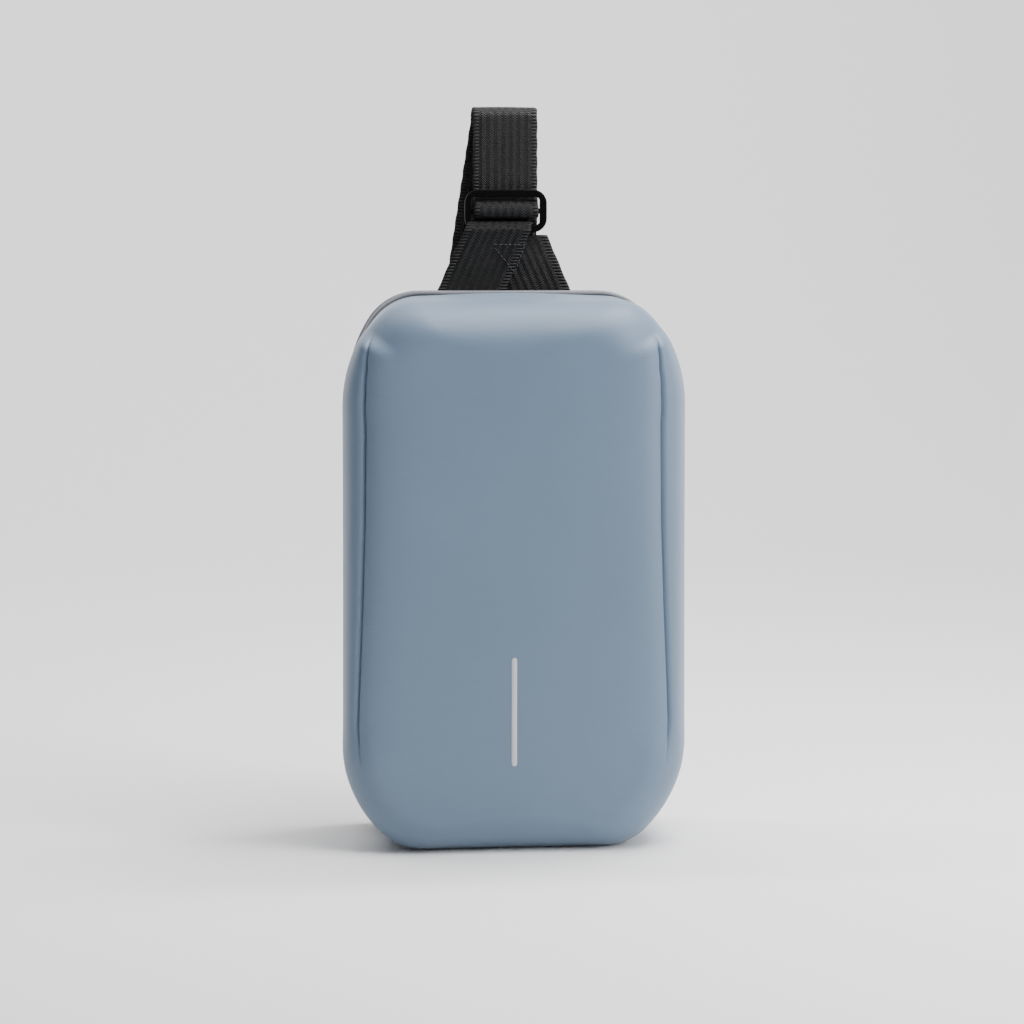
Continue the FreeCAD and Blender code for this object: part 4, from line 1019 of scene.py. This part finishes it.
def make_sleeve():
    centre_z, half_h = mid_z("tablet_sleeve"), size("tablet_sleeve")[2] / 2
    half_w = size("tablet_sleeve")[0] / 2 - 2
    count, rings = 240, []
    turn = np.linspace(0, TAU, count, endpoint=False)
    power = 0.2
    shape_x = np.sign(np.cos(turn)) * np.abs(np.cos(turn)) ** power
    shape_z = np.sign(np.sin(turn)) * np.abs(np.sin(turn)) ** power
    profile = [(0.02, -41.8), (0.5, -41.8), (0.97, -41.8), (0.995, -41.4), (1.0, -40), (1.0, -37),
               (0.985, -35.8), (0.95, -35.3), (0.9, -35.05), (0.7, -34.6), (0.5, -34.4), (0.3, -34.3),
               (0.02, -34.3)]
    for share, y in profile:
        rings.append(np.stack([shape_x * half_w * share, np.full(count, y),
                               centre_z + shape_z * (half_h - half_w * (1 - share))], 1))
    rings = np.array(rings)
    sleeve = ring_mesh("tablet_sleeve_pad", rings, LINING, "shell")
    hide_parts("tablet_sleeve")
    edge_z = high("sleeve_binding")[2]
    line = [(x, -38.2, edge_z - 3.6) for x in np.linspace(-69, 69, 60)]
    binding_tape("sleeve_binding_fold", line, 8.4, "shell", "sleeve_binding")


def binding_tape(name, line, width, body, node):
    """Tape folded over a free edge: a flattened tube."""
    loops = []
    for x, y, z in line:
        section = []
        for a in np.linspace(0, TAU, 16, endpoint=False):
            section.append((x, y + width / 2 * np.sign(math.cos(a)) * abs(math.cos(a)) ** 0.4,
                            z + 5.0 * np.sign(math.sin(a)) * abs(math.sin(a)) ** 0.6))
        loops.append(section)
    loops = np.array(loops)
    made = loop_mesh(name, loops, False, BINDING, body)
    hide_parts(node)


def make_mesh_pocket():
    """Open-topped pocket of stretch mesh, fuller towards its mouth."""
    xs, zs = np.linspace(-62, 62, 81), np.linspace(46, 152, 64)
    grid_x, grid_z = np.meshgrid(xs, zs)
    sideways = 1 - np.abs(grid_x / 62) ** 3.2
    upward = smoothstep(grid_z, 44, 84)
    ruck = 0.25 * np.sin(grid_x / 3.1) * np.exp(-((grid_z - 150) / 16) ** 2)
    bulge = 0.7 + 5.4 * sideways * (0.15 + 0.85 * upward) + ruck * sideways
    front = np.stack([grid_x, 33.2 - bulge, grid_z], 2)
    back = front + [0, 0.35, 0]
    loops = np.concatenate([front, back[:, ::-1]], 1)
    pocket = loop_mesh("mesh_pocket_net", loops, False, NET, "back_panel")
    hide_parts("mesh_pocket")
    line = [(x, 33.2 - 0.7 - 5.4 * (1 - abs(x / 62) ** 3.2), 149) for x in np.linspace(-62, 62, 60)]
    section = ((-0.7, -4.6), (-0.9, 0), (-0.7, 4.4), (0, 4.9), (0.8, 4.4), (0.9, 0), (0.8, -4.6), (0, -4.9))
    loops = np.array([[(x, y + dy, z + dz) for dy, dz in section] for x, y, z in line])
    made = loop_mesh("mesh_binding_fold", loops, False, BINDING, "back_panel")
    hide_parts("mesh_binding")


def make_tabs():
    """Folded webbing tab for each loop ring."""
    for side in ("left", "right"):
        x = mid_x(f"ring_tab_{side}")
        y, z = STRAP_BACK_Y, 50
        over = half_turn(x, y, z, 2.6, 200, -30, 20)
        line = np.concatenate([bend([(x, 51.1, 18.2), (x, 51.1, 29), (x, y - 2.5, z - 1.6)], 5)[:-1], over,
                               bend([(x, y + 2.2, z - 2.2), (x, 52.4, 30), (x, 52.4, 18.4)], 5)[1:]])
        ribbon(f"ring_tab_{side}_fold", line, (1.0, 0, 0), 24.6, 1.15, WEB, "back_panel",
               (f"ring_tab_{side}",))
        sewn_box(f"ring_tab_{side}_stitches", (x, 24.5), 9, 4.5, 53.05, 1.0)


def make_keeper():
    """Elastic loop that holds the strap's tail."""
    z = mid_z("strap_keeper")
    middle_y = TAIL_Y + 0.1
    inner_y, outer_y = middle_y - 1.6, middle_y + 1.6
    flat = WEBBING_HALF - 1.5
    turns = np.linspace(0.2, math.pi - 0.2, 12)
    right = [(WEBBING_HALF + 0.7 + 0.6 * math.sin(a), middle_y - 1.6 * math.cos(a), z) for a in turns]
    left = [(-x, 2 * middle_y - y, level) for x, y, level in right]
    line = [(0, inner_y, z), (flat, inner_y, z), *right, (flat, outer_y, z), (0, outer_y, z),
            (-flat, outer_y, z), *left, (-flat, inner_y, z), (-0.2, inner_y, z)]
    ribbon("strap_keeper_loop", line, (0, 0, 1.0), size("strap_keeper")[2], 0.9, ELASTIC, "back_panel",
           ("strap_keeper",))


def make_strap_stitches():
    """Sewn box where the strap's end folds back, and a row across the hem of its tail."""
    centre = (mid_x("swivel_eye") + 2.5, SWIVEL_BAR_Z + 16)
    sewn_box("strap_end_stitches", centre, 14, 7, STRAP_BACK_Y + 0.85, 1.0)
    row = [(side * 16, TAIL_Y + 2.3, 110) for side in (-1, 1)]
    stitch_row("strap_tail_stitches", row, np.tile([0.0, 1.0, 0], (2, 1)), THREAD, "back_panel")


def paint(node, material):
    """Show a hard CAD part with a material and slightly softened edges."""
    shown_node = bpy.data.objects[node]
    shown_node.data.materials.clear()
    shown_node.data.materials.append(material)
    bevel = shown_node.modifiers.new("soft_edges", "BEVEL")
    bevel.width = 0.0003
    bevel.segments = 2
    bevel.limit_method = "ANGLE"


make_camera()
make_studio()
FABRIC = coated_fabric()
BINDING = plain_fabric("binding", (0.030, 0.034, 0.043), 0.55, 900, 0.15)
GUSSET = plain_fabric("gusset_fabric", (0.035, 0.038, 0.046), 0.6)
LINING = plain_fabric("lining_fabric", (0.075, 0.080, 0.090), 0.7)
TAPE_MATERIAL = satin_tape()
COIL = hard_plastic("zip_coil", (0.025, 0.026, 0.030), 0.42)
AIR_MESH = air_mesh()
WEB = webbing()
ADJUSTER = hard_plastic("adjuster", (0.0015, 0.0015, 0.0017), 0.42, 0.08)
METAL = gunmetal()
PULL = hard_plastic("pull", (0.02, 0.021, 0.023), 0.62)
REFLECTIVE = reflective_film()
THREAD = plain_fabric("thread", (0.035, 0.036, 0.040), 0.5, 2500)
ELASTIC = plain_fabric("elastic", (0.018, 0.018, 0.020), 0.6, 700)
NET = plain_fabric("pocket_mesh", (0.030, 0.032, 0.036), 0.7, 600)
BOARD = plain_fabric("board", (0.05, 0.052, 0.058), 0.6, 700)
SKIN = make_shell(FABRIC)
make_liner(LINING)
make_reflective_bar(SKIN)
make_rim()
make_back_pad()
make_panel_core()
make_side_band()
make_hinge_strip()
make_pockets()
make_strap()
make_yoke()
make_tabs()
make_keeper()
make_strap_stitches()
paint("base_board", BOARD)
paint("pocket_zip_tape", TAPE_MATERIAL)
paint("pocket_zip_coil", COIL)
paint("strap_adjuster", ADJUSTER)
for node in ("swivel_eye", "hook_body", "hook_gate", "gate_pin", "loop_ring_left", "loop_ring_right",
             "zip_slider", "pocket_slider"):
    paint(node, METAL)
for node in ("zip_pull", "pocket_pull"):
    paint(node, PULL)
